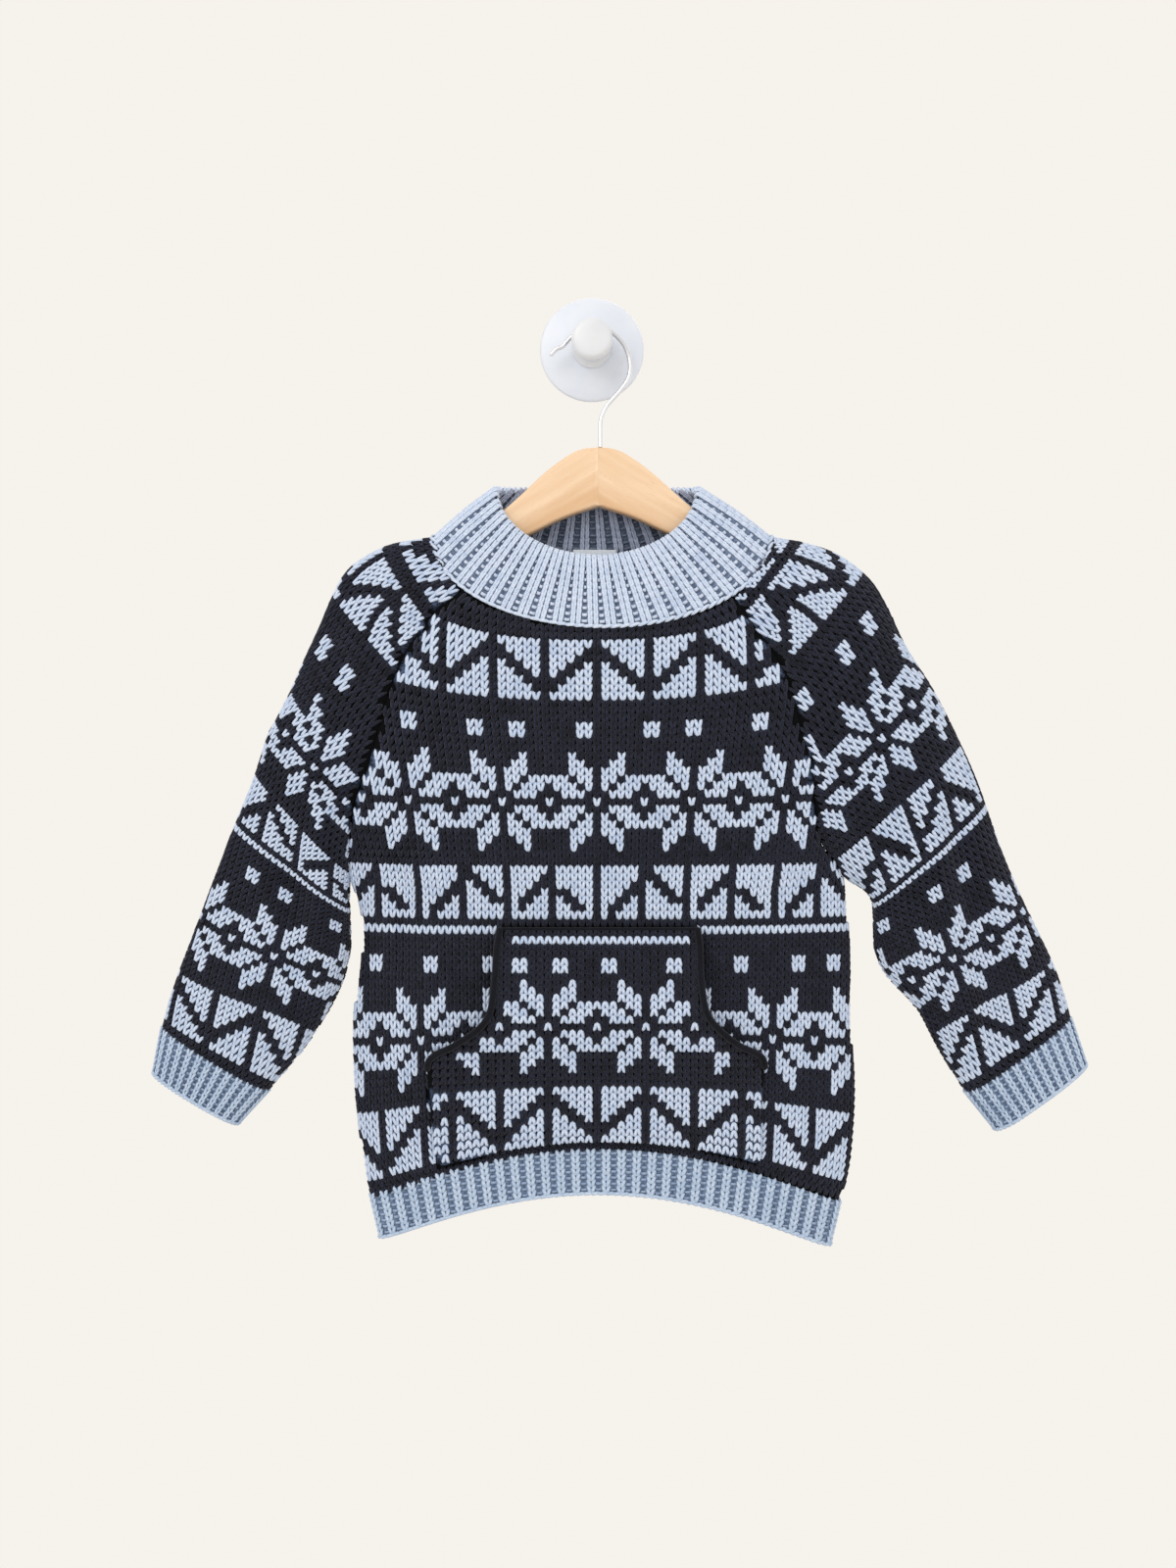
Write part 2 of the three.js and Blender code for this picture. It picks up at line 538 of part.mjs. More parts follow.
function hangerHalf(side) {
  const outline = [...HANGER_TOP, ...HANGER_TIP, ...HANGER_UNDER];
  const middle = HANGER_TOP[0][1];
  const turn = THREE.MathUtils.degToRad(HANGER.tilt);
  const points = outline.map(([dx, z]) => {
    const x = side * Math.max(dx, HANGER.jointGap / 2);
    const turned = new THREE.Vector2(x, z - middle);
    if (dx > 0) turned.rotateAround(new THREE.Vector2(0, 0), turn);
    return turned.add(new THREE.Vector2(HANGER.x, middle));
  });
  const depth = HANGER.thick - 2 * HANGER.bevel;
  const geometry = new THREE.ExtrudeGeometry(new THREE.Shape(points), {
    depth, bevelEnabled: true, bevelThickness: HANGER.bevel, bevelSize: HANGER.bevel,
    bevelOffset: -HANGER.bevel, bevelSegments: 2, curveSegments: 1,
  });
  geometry.translate(0, 0, -depth / 2);
  geometry.rotateX(Math.PI / 2);
  geometry.translate(0, HANGER.y, 0);
  return geometry;
}

function wireSolid() {
  const route = WIRE_POINTS.map(([x, z]) => new THREE.Vector3(x, WIRE.y, z));
  const circle = Array.from({ length: WIRE.sides }, (_, i) => {
    const angle = (i + 0.5) * 2 * Math.PI / WIRE.sides;
    return new THREE.Vector2(Math.cos(angle), Math.sin(angle)).multiplyScalar(WIRE.radius);
  });
  return new THREE.ExtrudeGeometry(new THREE.Shape(circle), {
    steps: WIRE.steps, extrudePath: new THREE.CatmullRomCurve3(route), curveSegments: 1,
  });
}

function turned(profile) {
  const points = profile.map(([radius, y]) => new THREE.Vector2(radius, y));
  return new THREE.LatheGeometry(points, TURN_STEPS);
}

const collarGeometry = collarSolid();

// Half of the hem, front (side -1) or back (side 1), as far as the side seams.
function hemHalf(line, side) {
  const base = alongLine(line, HEM_RIBS / 2 * RIB_PROFILE.length);
  for (const end of [base[0], base[base.length - 1]]) end.p.y += side * half;
  return endBand(base, new THREE.Vector3(0, 0, -1), (p, t) => new THREE.Vector3(
    HEM.middleX + (p.x - HEM.middleX) * mix(1, HEM.scale, t), p.y, p.z - HEM.length * t), false);
}
const hemFront = hemHalf(hemLines[0], -1);
const hemBack = hemHalf(hemLines[1], 1);

function cuffGeometry(piece, cuff, flip) {
  const loop = cuffLoop(piece);
  const middle = loop.reduce((sum, { p }) => sum.add(p), new THREE.Vector3()).divideScalar(loop.length);
  const move = new THREE.Vector3(...cuff.move);
  const base = roundLoop(loop, CUFF_RIBS * RIB_PROFILE.length);
  return endBand(base, move.clone().normalize(), (p, t) => p.clone().sub(middle)
    .multiplyScalar(mix(1, cuff.scale, t)).add(middle).addScaledVector(move, t), flip);
}
const leftCuff = cuffGeometry(leftSleeve, CUFFS.left, true);
const rightCuff = cuffGeometry(rightSleeve, CUFFS.right, false);

openSeams(front, bodyShift(-1));
openSeams(back, bodyShift(1));
openSeams(leftSleeve, sleeveShift(-1));
openSeams(rightSleeve, sleeveShift(1));

const jumper = new THREE.Group();
jumper.add(
  named('front_panel', wallSolid(front, WALL), NAVY_KNIT),
  named('back_panel', wallSolid(back, WALL), NAVY_KNIT),
  named('sleeve_left', wallSolid(leftSleeve, WALL), NAVY_KNIT),
  named('sleeve_right', wallSolid(rightSleeve, WALL), NAVY_KNIT),
  named('collar_rib', collarGeometry, BLUE_KNIT),
  named('hem_rib_front', hemFront, BLUE_KNIT),
  named('hem_rib_back', hemBack, BLUE_KNIT),
  named('cuff_rib_left', leftCuff, BLUE_KNIT),
  named('cuff_rib_right', rightCuff, BLUE_KNIT),
  named('pocket', pocketSolid(), NAVY_KNIT),
  named('neck_label', labelSolid(), LABEL_CLOTH),
);

const hanger = new THREE.Group();
hanger.add(
  named('hanger_arm_left', hangerHalf(-1), BIRCH),
  named('hanger_arm_right', hangerHalf(1), BIRCH),
  named('hanger_wire_hook', wireSolid(), STEEL_WIRE),
);

const wallHook = new THREE.Group();
wallHook.add(
  named('wall_hook_plate', turned(PLATE_PROFILE), WHITE_PLASTIC),
  named('wall_hook_knob', turned(KNOB_PROFILE), WHITE_PLASTIC),
);

const jumperOnHanger = new THREE.Group();
jumperOnHanger.add(jumper, hanger, wallHook);

export default jumperOnHanger;
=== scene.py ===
"""A child's fair isle jumper on a wooden hanger, hung from a round white wall hook.

Every piece of cloth is a thin shell on the form of its solid, and its knit stitches are
real meshes laid over that shell. The colours of the stitches follow a small chart of
traditional stars, triangles and dots. Tables are in millimetres and meshes in metres.
X points to the viewer's right, Y into the wall and Z up.
"""

from __future__ import annotations

import logging
import math
from dataclasses import dataclass, field
from enum import Enum

import bmesh
import bpy
import numpy as np
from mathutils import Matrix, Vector
from mathutils.bvhtree import BVHTree
from mathutils.kdtree import KDTree

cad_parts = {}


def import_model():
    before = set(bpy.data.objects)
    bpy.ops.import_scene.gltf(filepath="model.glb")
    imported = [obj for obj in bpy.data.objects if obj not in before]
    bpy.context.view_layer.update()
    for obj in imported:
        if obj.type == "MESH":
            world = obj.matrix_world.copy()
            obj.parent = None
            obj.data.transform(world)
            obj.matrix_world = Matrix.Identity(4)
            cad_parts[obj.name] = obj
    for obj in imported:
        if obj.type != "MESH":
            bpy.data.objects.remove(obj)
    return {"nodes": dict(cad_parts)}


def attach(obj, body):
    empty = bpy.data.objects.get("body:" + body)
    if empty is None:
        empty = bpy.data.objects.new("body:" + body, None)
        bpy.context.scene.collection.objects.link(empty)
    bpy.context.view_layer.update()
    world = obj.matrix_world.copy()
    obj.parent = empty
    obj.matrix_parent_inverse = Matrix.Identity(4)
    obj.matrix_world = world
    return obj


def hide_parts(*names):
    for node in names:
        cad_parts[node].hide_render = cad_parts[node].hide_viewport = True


LOG = logging.getLogger("jumper")
MM = 0.001
ROOT = "root"
Array = np.ndarray
Colour = tuple[float, float, float]
Piece = bpy.types.Object
Material = bpy.types.Material
Socket = bpy.types.NodeSocket


class Side(Enum):
    """The two panels of the body."""

    FRONT = -1
    BACK = 1


class Hand(Enum):
    """The two sleeves, as the viewer sees them."""

    LEFT = "left"
    RIGHT = "right"


# Cloth, shared by all its pieces
WALL = 3.0              # thickness of the knitted cloth
SEAM_GAP = 0.3
OVAL = 2.4              # squareness of the cross sections
ARCH_POWER = 1.1
FOLD_EDGE_FADE = 8
SLEEVE_BACK_FOLD = 0.6
RING_FULLNESS = 0.6
STITCH_DEPTH = 1.0      # how far the shell lies under the stitches' mean height
STITCH_THICK = 2.5      # height of a stitch from its ends to its crown
BARE_CLOTH = 4.6        # further than this from a stitch, the shell is near-black navy: painted shade in seams and gaps
RIM_MARGIN = 2.4        # how far the stitches stay from the edges of a panel
TINY = 1e-9
SEED = 7

# Rows of the body from the neck to the hem seam. Columns: left end x and z, right end x
# and z, front edge y and bulge, back edge y and bulge, lift of the back seam, roundness
# of the edge, and rise of the middle.
LEFT_X, LEFT_Z, RIGHT_X, RIGHT_Z, FRONT_Y, FRONT_OUT = range(6)
BACK_Y, BACK_OUT, LIFT, ROUND, RISE = range(6, 11)
BODY_ROWS = np.array([
    [-86.4, -171.2, 90.9, -172.5, -34, 7, -8, 1, 32, 0, -25],
    [-104.7, -185.5, 105.1, -190.1, -37, 6, -6, 1, 27, 0, -21],
    [-113.7, -198.3, 116.8, -206.2, -38, 6, -6, 1, 24, 0, -17],
    [-124.2, -212.2, 129.2, -226.1, -39, 6, -6, 1, 20, 0, -12],
    [-132.0, -228.1, 137.0, -247.9, -39, 6, -7, 2, 17, 0, -8],
    [-139.7, -249.9, 141.5, -267.1, -39, 6, -8, 3, 14, 0, -5],
    [-145.7, -271.7, 147.4, -286.8, -39, 6, -9, 4, 10, 0, -3],
    [-152.2, -293.4, 150.0, -303.3, -38, 7, -10, 5, 7, 0.1, -1],
    [-159.6, -311.8, 151.5, -323.1, -36, 9, -12, 8, 4, 0.3, 0],
    [-163.6, -329.1, 156.1, -343.0, -33, 12, -15, 11, 2, 0.6, 0],
    [-166.0, -362.0, 170.5, -364.0, -24, 21, -24, 20, 0, 1, 0],
    [-157.5, -390.0, 174.0, -392.0, -24, 21, -24, 20, 0, 1, 0],
    [-157.0, -424.0, 176.0, -425.0, -24.5, 21, -24.5, 20, 0, 1, 0],
    [-162.0, -457.0, 175.5, -458.0, -25, 21, -25, 20, 0, 1, 2],
    [-162.5, -491.0, 178.0, -492.0, -25, 21, -25, 20, 0, 1, 7],
    [-160.0, -524.0, 179.5, -525.0, -25.5, 21, -25.5, 20, 0, 1, 17],
    [-156.0, -556.0, 176.5, -558.0, -26, 21, -26, 20, 0, 1, 28],
    [-151.0, -582.0, 169.0, -587.0, -26, 21, -26, 20, 0, 1, 37],
])
UNDERARM = 10
LAST_ROW = len(BODY_ROWS) - 1

# The neck seam and the collar's rings over it. Columns: left and right end, height of the
# ends, dips before and behind, middle y, half depths before and behind.
NECK_LEFT, NECK_RIGHT, SIDE_Z, FRONT_DIP, BACK_DIP, RING_Y, RING_FRONT, RING_BACK = range(8)
RINGS = np.array([
    [-109.3, 123.4, -134, 64, 10, -18, 23, 14],
    [-89.0, 99.5, -116, 59, 5, -18, 22, 14],
    [-67.5, 74.1, -100, 51, 0, -18, 19, 14],
])
NECK_FRONT = (-54.4, 49.6)
NECK_BACK = (-125.6, 130.4)

# Sections of the sleeves from the neck to the cuff. Columns: outer x and z, inner x and
# z (from the underarm on), middle y, half depth, how far closed, and the knit rows that
# cross the section's outer and inner ends.
OUTER_X, OUTER_Z, INNER_X, INNER_Z, MID_Y, BULGE, CLOSED, OUTER_ROW, INNER_ROW = range(9)
SLEEVES = {
    Hand.LEFT: np.array([
        [-109.3, -134.0, 0, 0, -18, 0, 0, -4.5, -4.5],
        [-137.5, -139.5, 0, 0, -19, 2, 0, 1.2, -0.2],
        [-157.7, -149.7, 0, 0, -19.5, 3, 0, 4.9, 3.0],
        [-169.7, -160.6, 0, 0, -20, 3, 0, 7.6, 6.4],
        [-179.0, -178.8, 0, 0, -20.5, 4, 0, 10.8, 10.0],
        [-186.3, -196.4, 0, 0, -21, 4, 0, 13.4, 12.6],
        [-197.6, -221.3, 0, 0, -21.5, 5, 0, 17.4, 15.2],
        [-207.6, -244.2, 0, 0, -22, 7, 0.1, 21.3, 18.6],
        [-215.5, -259.7, 0, 0, -23, 9, 0.3, 24.0, 21.8],
        [-221.4, -271.1, 0, 0, -23.5, 12, 0.6, 26.4, 24.8],
        [-229.3, -296.6, 0, 0, -24, 19, 1, 32.0, 31.5],
        [-239.4, -322.0, -166.6, -381.0, -24, 19, 1, 38.0, 37.5],
        [-249.4, -346.9, -166.0, -400.5, -24, 19, 1, 44.2, 44.0],
        [-260.2, -375.7, -166.0, -417.5, -24, 19, 1, 50.8, 49.0],
        [-270.9, -403.8, -170.3, -436.0, -24, 19, 1, 57.3, 53.5],
        [-281.0, -430.7, -180.4, -457.5, -24, 19, 1, 63.3, 59.0],
        [-288.3, -452.1, -198.5, -485.6, -24, 18.5, 1, 68.6, 66.0],
        [-292.5, -468.5, -221.3, -511.8, -24, 17, 1, 73.0, 73.0],
    ]),
    Hand.RIGHT: np.array([
        [123.4, -134.0, 0, 0, -18, 0, 0, -4.5, -4.5],
        [146.9, -138.8, 0, 0, -19, 2, 0, 2.6, 2.6],
        [169.0, -147.0, 0, 0, -19.5, 3, 0, 7.0, 5.0],
        [189.1, -162.6, 0, 0, -20, 3, 0, 10.9, 10.3],
        [200.4, -180.2, 0, 0, -20.5, 4, 0, 14.6, 13.4],
        [213.1, -207.1, 0, 0, -21, 4, 0, 19.4, 16.2],
        [222.4, -222.6, 0, 0, -21.5, 5, 0, 22.0, 19.0],
        [231.0, -236.1, 0, 0, -22, 7, 0.1, 24.4, 21.4],
        [238.9, -250.9, 0, 0, -23, 9, 0.3, 27.0, 24.4],
        [245.4, -264.4, 0, 0, -23.5, 12, 0.6, 29.6, 29.0],
        [257.4, -289.9, 0, 0, -24, 19, 1, 34.6, 33.8],
        [265.4, -310.0, 190.3, -379.7, -24, 19, 1, 38.4, 38.4],
        [276.8, -343.5, 193.0, -397.1, -24, 19, 1, 45.6, 43.6],
        [290.2, -375.7, 194.3, -417.2, -24, 19, 1, 52.8, 48.0],
        [303.0, -402.5, 202.4, -434.7, -24, 19, 1, 58.8, 51.8],
        [314.3, -426.6, 222.5, -456.8, -24, 19, 1, 64.4, 57.4],
        [321.1, -445.4, 237.3, -484.3, -24, 18.5, 1, 69.0, 65.2],
        [325.7, -462.2, 255.4, -513.1, -24, 17, 1, 73.0, 73.0],
    ]),
}

# Soft folds. Columns: from x and z, to x and z, width, and height (under 0 for a trough).
FRONT_FOLDS = np.array([
    [-111, -355, -112, -490, 15, 3.5],
    [-130, -345, -131, -420, 9, -2.5],
    [-150, -335, -95, -372, 11, 3],
    [155, -335, 105, -375, 11, 3],
    [150, -390, 150, -520, 16, -2.5],
])
BACK_FOLDS = np.array([
    [-100, -360, -90, -500, 17, -3],
    [95, -350, 105, -480, 17, -3],
    [10, -420, 0, -560, 22, -2],
])
SLEEVE_FOLDS = np.array([
    [-187, -330, -178, -436, 11, 4],
    [-203, -340, -200, -445, 9, -3.5],
    [-196, -290, -170, -345, 10, 3],
    [226, -300, 256, -500, 12, 4],
    [242, -330, 270, -480, 9, -3.5],
    [205, -290, 175, -350, 10, 3],
])

# The chart. A cross is a stitch of blue yarn, a point one of navy.
HALF_STAR = ["...X.....X..", "..XX.....XX.", ".XXX.....XXX", ".XX.XXXXX.XX",
             ".X.XXX.XXX.X", "..XXX...XXX."]
STAR = [*HALF_STAR, "X.....X.....", *reversed(HALF_STAR)]
TRIANGLE = ["XXXXX.XXXXX.", "XXXX...XXXX.", "XXX.....XXX.", "XX..X.X..XX.",
            "X..XX.XX..X.", "..XXX.XXX...", ".XXXX.XXXX..", "XXXXX.XXXXX."]
BROKEN_TRIANGLE = ["XXXXX.XXXXX.XXXXX..XXXX.", "XXXX..XXXXX.XXXXX...XXX.",
                   "XXX...XXXXX.XXXX..X..XX.", "XX..X...XXX.XXX...XX..X.",
                   "X..XX.X..XX.XX..X.XXX...", "X.XXX.XX..X.X..XX.XXXXX.",
                   "XXXXX.XXXXX.X.XXX.XXXXX."]
TRIANGLE_MIDDLE = 5
BODY_DOTS = ["......XX...XX......XX"] * 2
STRIPE = ["X"]
PLAIN = ["."]


@dataclass(frozen=True)
class Band:
    """One band of the chart: its rows, and the chart column on the middle stitch."""

    rows: list[str]
    middle: int = 0


GAP = Band(PLAIN * 2)
BODY_BANDS = [
    GAP, Band(TRIANGLE, TRIANGLE_MIDDLE), Band(PLAIN * 3), Band(BODY_DOTS), GAP, Band(STAR), GAP,
    Band(BROKEN_TRIANGLE, 11), Band(PLAIN), Band(STRIPE), Band(PLAIN * 3), Band(BODY_DOTS), GAP,
    Band(STAR), GAP, Band(TRIANGLE, TRIANGLE_MIDDLE), GAP,
]
POCKET_DOTS = ["...XX....XX......XX"] * 2
POCKET_BANDS = [
    Band(PLAIN), Band(STRIPE), GAP, Band(POCKET_DOTS, 8), Band(PLAIN), Band(STAR, 6), GAP,
    Band(list(reversed(TRIANGLE)), TRIANGLE_MIDDLE),
]


@dataclass(frozen=True)
class Chart:
    """A chart of bands, read from the top row down."""

    bands: list[Band]

    def blue(self, row: int, column: int) -> bool:
        """Tells whether a stitch is of blue yarn; rows over the chart are plain.

        Args:
            row: Knit row, 0 at the chart's top.
            column: Stitch column, 0 in the middle, growing to the right.

        Returns:
            True for blue yarn.
        """
        if row < 0:
            return False
        for band in self.bands:
            if row < len(band.rows):
                line = band.rows[row]
                return line[(column + band.middle) % len(line)] == "X"
            row -= len(band.rows)
        return False

    @property
    def height(self) -> int:
        """The number of knit rows."""
        return sum(len(band.rows) for band in self.bands)


BODY_CHART = Chart(BODY_BANDS)
POCKET_CHART = Chart(POCKET_BANDS)


def mix(a: Array | float, b: Array | float, t: Array | float) -> Array | float:
    """Blends linearly from a to b."""
    return a + (b - a) * t


def signed_power(value: Array, power: float) -> Array:
    """Raises the size of a value to a power and keeps its sign."""
    return np.sign(value) * np.abs(value) ** power


def round_edge(s: Array) -> Array:
    """Height of a rounded cross section at share s across it, from -1 to 1."""
    return (1 - np.minimum(1, np.abs(s)) ** OVAL) ** (1 / OVAL)


def along_rows(rows: Array, at: Array) -> Array:
    """Reads a table between its rows on a smooth curve through them.

    Args:
        rows: Table of n rows.
        at: Row positions, from 0 to n - 1.

    Returns:
        One table row for each position.
    """
    last = len(rows) - 1
    at = np.clip(np.asarray(at, float), 0, last)
    i = np.minimum(at.astype(int), last - 1)
    t = (at - i)[..., None]
    before, here, after = rows[np.maximum(i - 1, 0)], rows[i], rows[i + 1]
    beyond = rows[np.minimum(i + 2, last)]
    return 0.5 * (2 * here + (after - before) * t
                  + (2 * before - 5 * here + 4 * after - beyond) * t ** 2
                  + (3 * here - before - 3 * after + beyond) * t ** 3)


def fold_lift(folds: Array, x: Array, z: Array) -> Array:
    """How far a list of folds lifts the cloth at points seen from the front.

    Args:
        folds: Table of folds.
        x, z: Places across, and heights.

    Returns:
        The lift at each point, in millimetres.
    """
    lift = np.zeros(np.broadcast(x, z).shape)
    for x1, z1, x2, z2, width, height in folds:
        dx, dz = x2 - x1, z2 - z1
        t = np.clip(((x - x1) * dx + (z - z1) * dz) / (dx * dx + dz * dz), 0, 1)
        away = np.hypot(x - x1 - t * dx, z - z1 - t * dz) / width
        lift = lift + height * np.exp(-away * away)
    return lift


def ring_point(ring: Array, degrees: Array) -> Array:
    """Points of the neck seam or of a collar ring; the angle is 0 at the front middle.

    Args:
        ring: One row of the table of rings, or one for each point.
        degrees: Angles round the neck.

    Returns:
        The points, in millimetres.
    """
    angle = np.radians(degrees)
    ahead = np.cos(angle)
    front = ahead > 0
    reach = np.abs(ahead)
    full = reach ** RING_FULLNESS
    depth = np.where(front, -ring[..., RING_FRONT] * full, ring[..., RING_BACK] * full)
    dip = np.where(front, ring[..., FRONT_DIP], ring[..., BACK_DIP]) * reach
    middle = (ring[..., NECK_LEFT] + ring[..., NECK_RIGHT]) / 2
    half = (ring[..., NECK_RIGHT] - ring[..., NECK_LEFT]) / 2
    return np.stack([middle + np.sin(angle) * half, ring[..., RING_Y] + depth,
                     ring[..., SIDE_Z] - dip], axis=-1)


def grid_normals(grid: Array, outward: int, wrap: bool = False) -> Array:
    """Unit normals of a grid of points.

    Args:
        grid: Points as rows, columns and coordinates.
        outward: 1 or -1, the sense in which the normals point out of the cloth.
        wrap: Whether the last column meets the first.

    Returns:
        One normal for each point.
    """
    down = np.gradient(grid, axis=0)
    if wrap:
        across = (np.roll(grid, -1, axis=1) - np.roll(grid, 1, axis=1)) / 2
    else:
        across = np.gradient(grid, axis=1)
    normals = np.cross(down, across) * outward
    return normals / np.maximum(np.linalg.norm(normals, axis=-1, keepdims=True), TINY)


def lengths_along(points: Array) -> Array:
    """Distance of each point from the first, along a line of points."""
    steps = np.linalg.norm(np.diff(points, axis=0), axis=1)
    return np.concatenate([[0.0], np.cumsum(steps)])


def read_line(at: Array, lengths: Array, line: Array) -> Array:
    """Points at given distances along a line of points."""
    return np.stack([np.interp(at, lengths, line[:, i]) for i in range(3)], axis=1)


def spread_grid(down: Array, across: Array) -> tuple[Array, Array]:
    """The places down and across of each point of a grid."""
    return down[:, None] * np.ones((1, len(across))), np.ones((len(down), 1)) * across[None, :]


def ring_faces(rings: int, sides: int) -> list:
    """Faces between rings of points that follow each other."""
    return [[i * sides + j, i * sides + k, (i + 1) * sides + k, (i + 1) * sides + j]
            for i in range(rings - 1) for j in range(sides) for k in [(j + 1) % sides]]


@dataclass(frozen=True)
class BodyForm:
    """The body's front and back as surfaces."""

    def point(self, r: Array, u: Array, side: Side) -> Array:
        """Points of a panel.

        Args:
            r: Places down the table of rows.
            u: Places across, from -1 to 1.
            side: Front or back.

        Returns:
            The points, in millimetres.
        """
        row = along_rows(BODY_ROWS, r)
        even = signed_power(np.sin(u * np.pi / 2), 2 / OVAL)
        s = mix(u, even, row[..., ROUND])
        points = self._place(row, row, s, side, row[..., LEFT_Z], row[..., RIGHT_Z],
                             row[..., RISE])
        left, right = NECK_FRONT if side is Side.FRONT else (NECK_BACK[0], NECK_BACK[1] - 360)
        seam = ring_point(RINGS[0], mix(left, right, (u + 1) / 2))
        first = along_rows(BODY_ROWS, np.zeros_like(r))
        start = self._place(first, first, u, side, first[..., LEFT_Z], first[..., RIGHT_Z],
                            first[..., RISE])
        near = np.clip(1 - r, 0, 1)[..., None]
        return points + near * (seam - start)

    def knit_line(self, knit: float, s: Array, side: Side) -> Array:
        """Points along one knit row.

        Args:
            knit: Knit row, 0 under the front neck.
            s: Shares across, from -1 to 1.
            side: Front or back.

        Returns:
            The points, in millimetres.
        """
        level, rise = knit_height(knit)
        height = level + np.interp(knit, YOKE_ROWS, YOKE_SIDE_RISE) * np.abs(s) ** YOKE_POWER
        lift = BODY_ROWS[:, LIFT] if side is Side.BACK else 0
        places = np.arange(len(BODY_ROWS))
        left = along_rows(BODY_ROWS, np.interp(-height, -(BODY_ROWS[:, LEFT_Z] + lift), places))
        right = along_rows(BODY_ROWS, np.interp(-height, -(BODY_ROWS[:, RIGHT_Z] + lift), places))
        return self._place(left, right, s, side, height, height, rise, lifted=False)

    @staticmethod
    def _place(left: Array, right: Array, s: Array, side: Side, left_z: Array, right_z: Array,
               rise: Array, lifted: bool = True) -> Array:
        """Places points between two rows' ends; s is the share across from -1 to 1.

        Args:
            left, right: Table rows at the two ends.
            s: Shares across, from -1 to 1.
            side: Front or back.
            left_z, right_z: Heights of the two ends.
            rise: Rise of the middle over the ends.
            lifted: Whether the back's lift is still to be added.

        Returns:
            The points, in millimetres.
        """
        back = side is Side.BACK
        t = (s + 1) / 2
        if lifted and back:
            left_z = left_z + left[..., LIFT]
            right_z = right_z + right[..., LIFT]
            rise = np.where(rise < 0, rise / 3, rise)
        x = mix(left[..., LEFT_X], right[..., RIGHT_X], t)
        z = mix(left_z, right_z, t) + rise * np.maximum(0, 1 - s * s) ** ARCH_POWER
        edge_column, out_column = (BACK_Y, BACK_OUT) if back else (FRONT_Y, FRONT_OUT)
        rounded = mix(left[..., ROUND], right[..., ROUND], t)
        profile = mix(1 - s * s, round_edge(s), rounded)
        edge = mix(left[..., edge_column], right[..., edge_column], t)
        bulge = mix(left[..., out_column], right[..., out_column], t)
        fold = fold_lift(BACK_FOLDS if back else FRONT_FOLDS, x, z) * (1 - s ** FOLD_EDGE_FADE)
        y = edge + side.value * (bulge * profile + fold)
        return np.stack(np.broadcast_arrays(x, y, z), axis=-1)


KNIT_ROWS = (0, 45, 73)
KNIT_SIDE_Z = (-196.7, -424.3, -585.0)
KNIT_RISE = 37.0
YOKE_ROWS = (-12, 2, 9.5, 14, 23, 45)
YOKE_SIDE_RISE = (25.0, 18.0, 14.0, 10.0, 3.0, 0.0)
YOKE_POWER = 2.5


def knit_height(knit: float) -> tuple[float, float]:
    """Height of a knit row at the sides, and how far its middle rises over that.

    Args:
        knit: Knit row, 0 under the front neck.

    Returns:
        The height at the sides and the rise in the middle.
    """
    start, turn, end = KNIT_ROWS
    slope = (KNIT_SIDE_Z[1] - KNIT_SIDE_Z[0]) / (turn - start)
    if knit < start:
        return KNIT_SIDE_Z[0] + slope * knit, 0.0
    height = float(np.interp(knit, KNIT_ROWS, KNIT_SIDE_Z))
    return height, KNIT_RISE * max(0.0, (knit - turn) / (end - turn)) ** 1.5


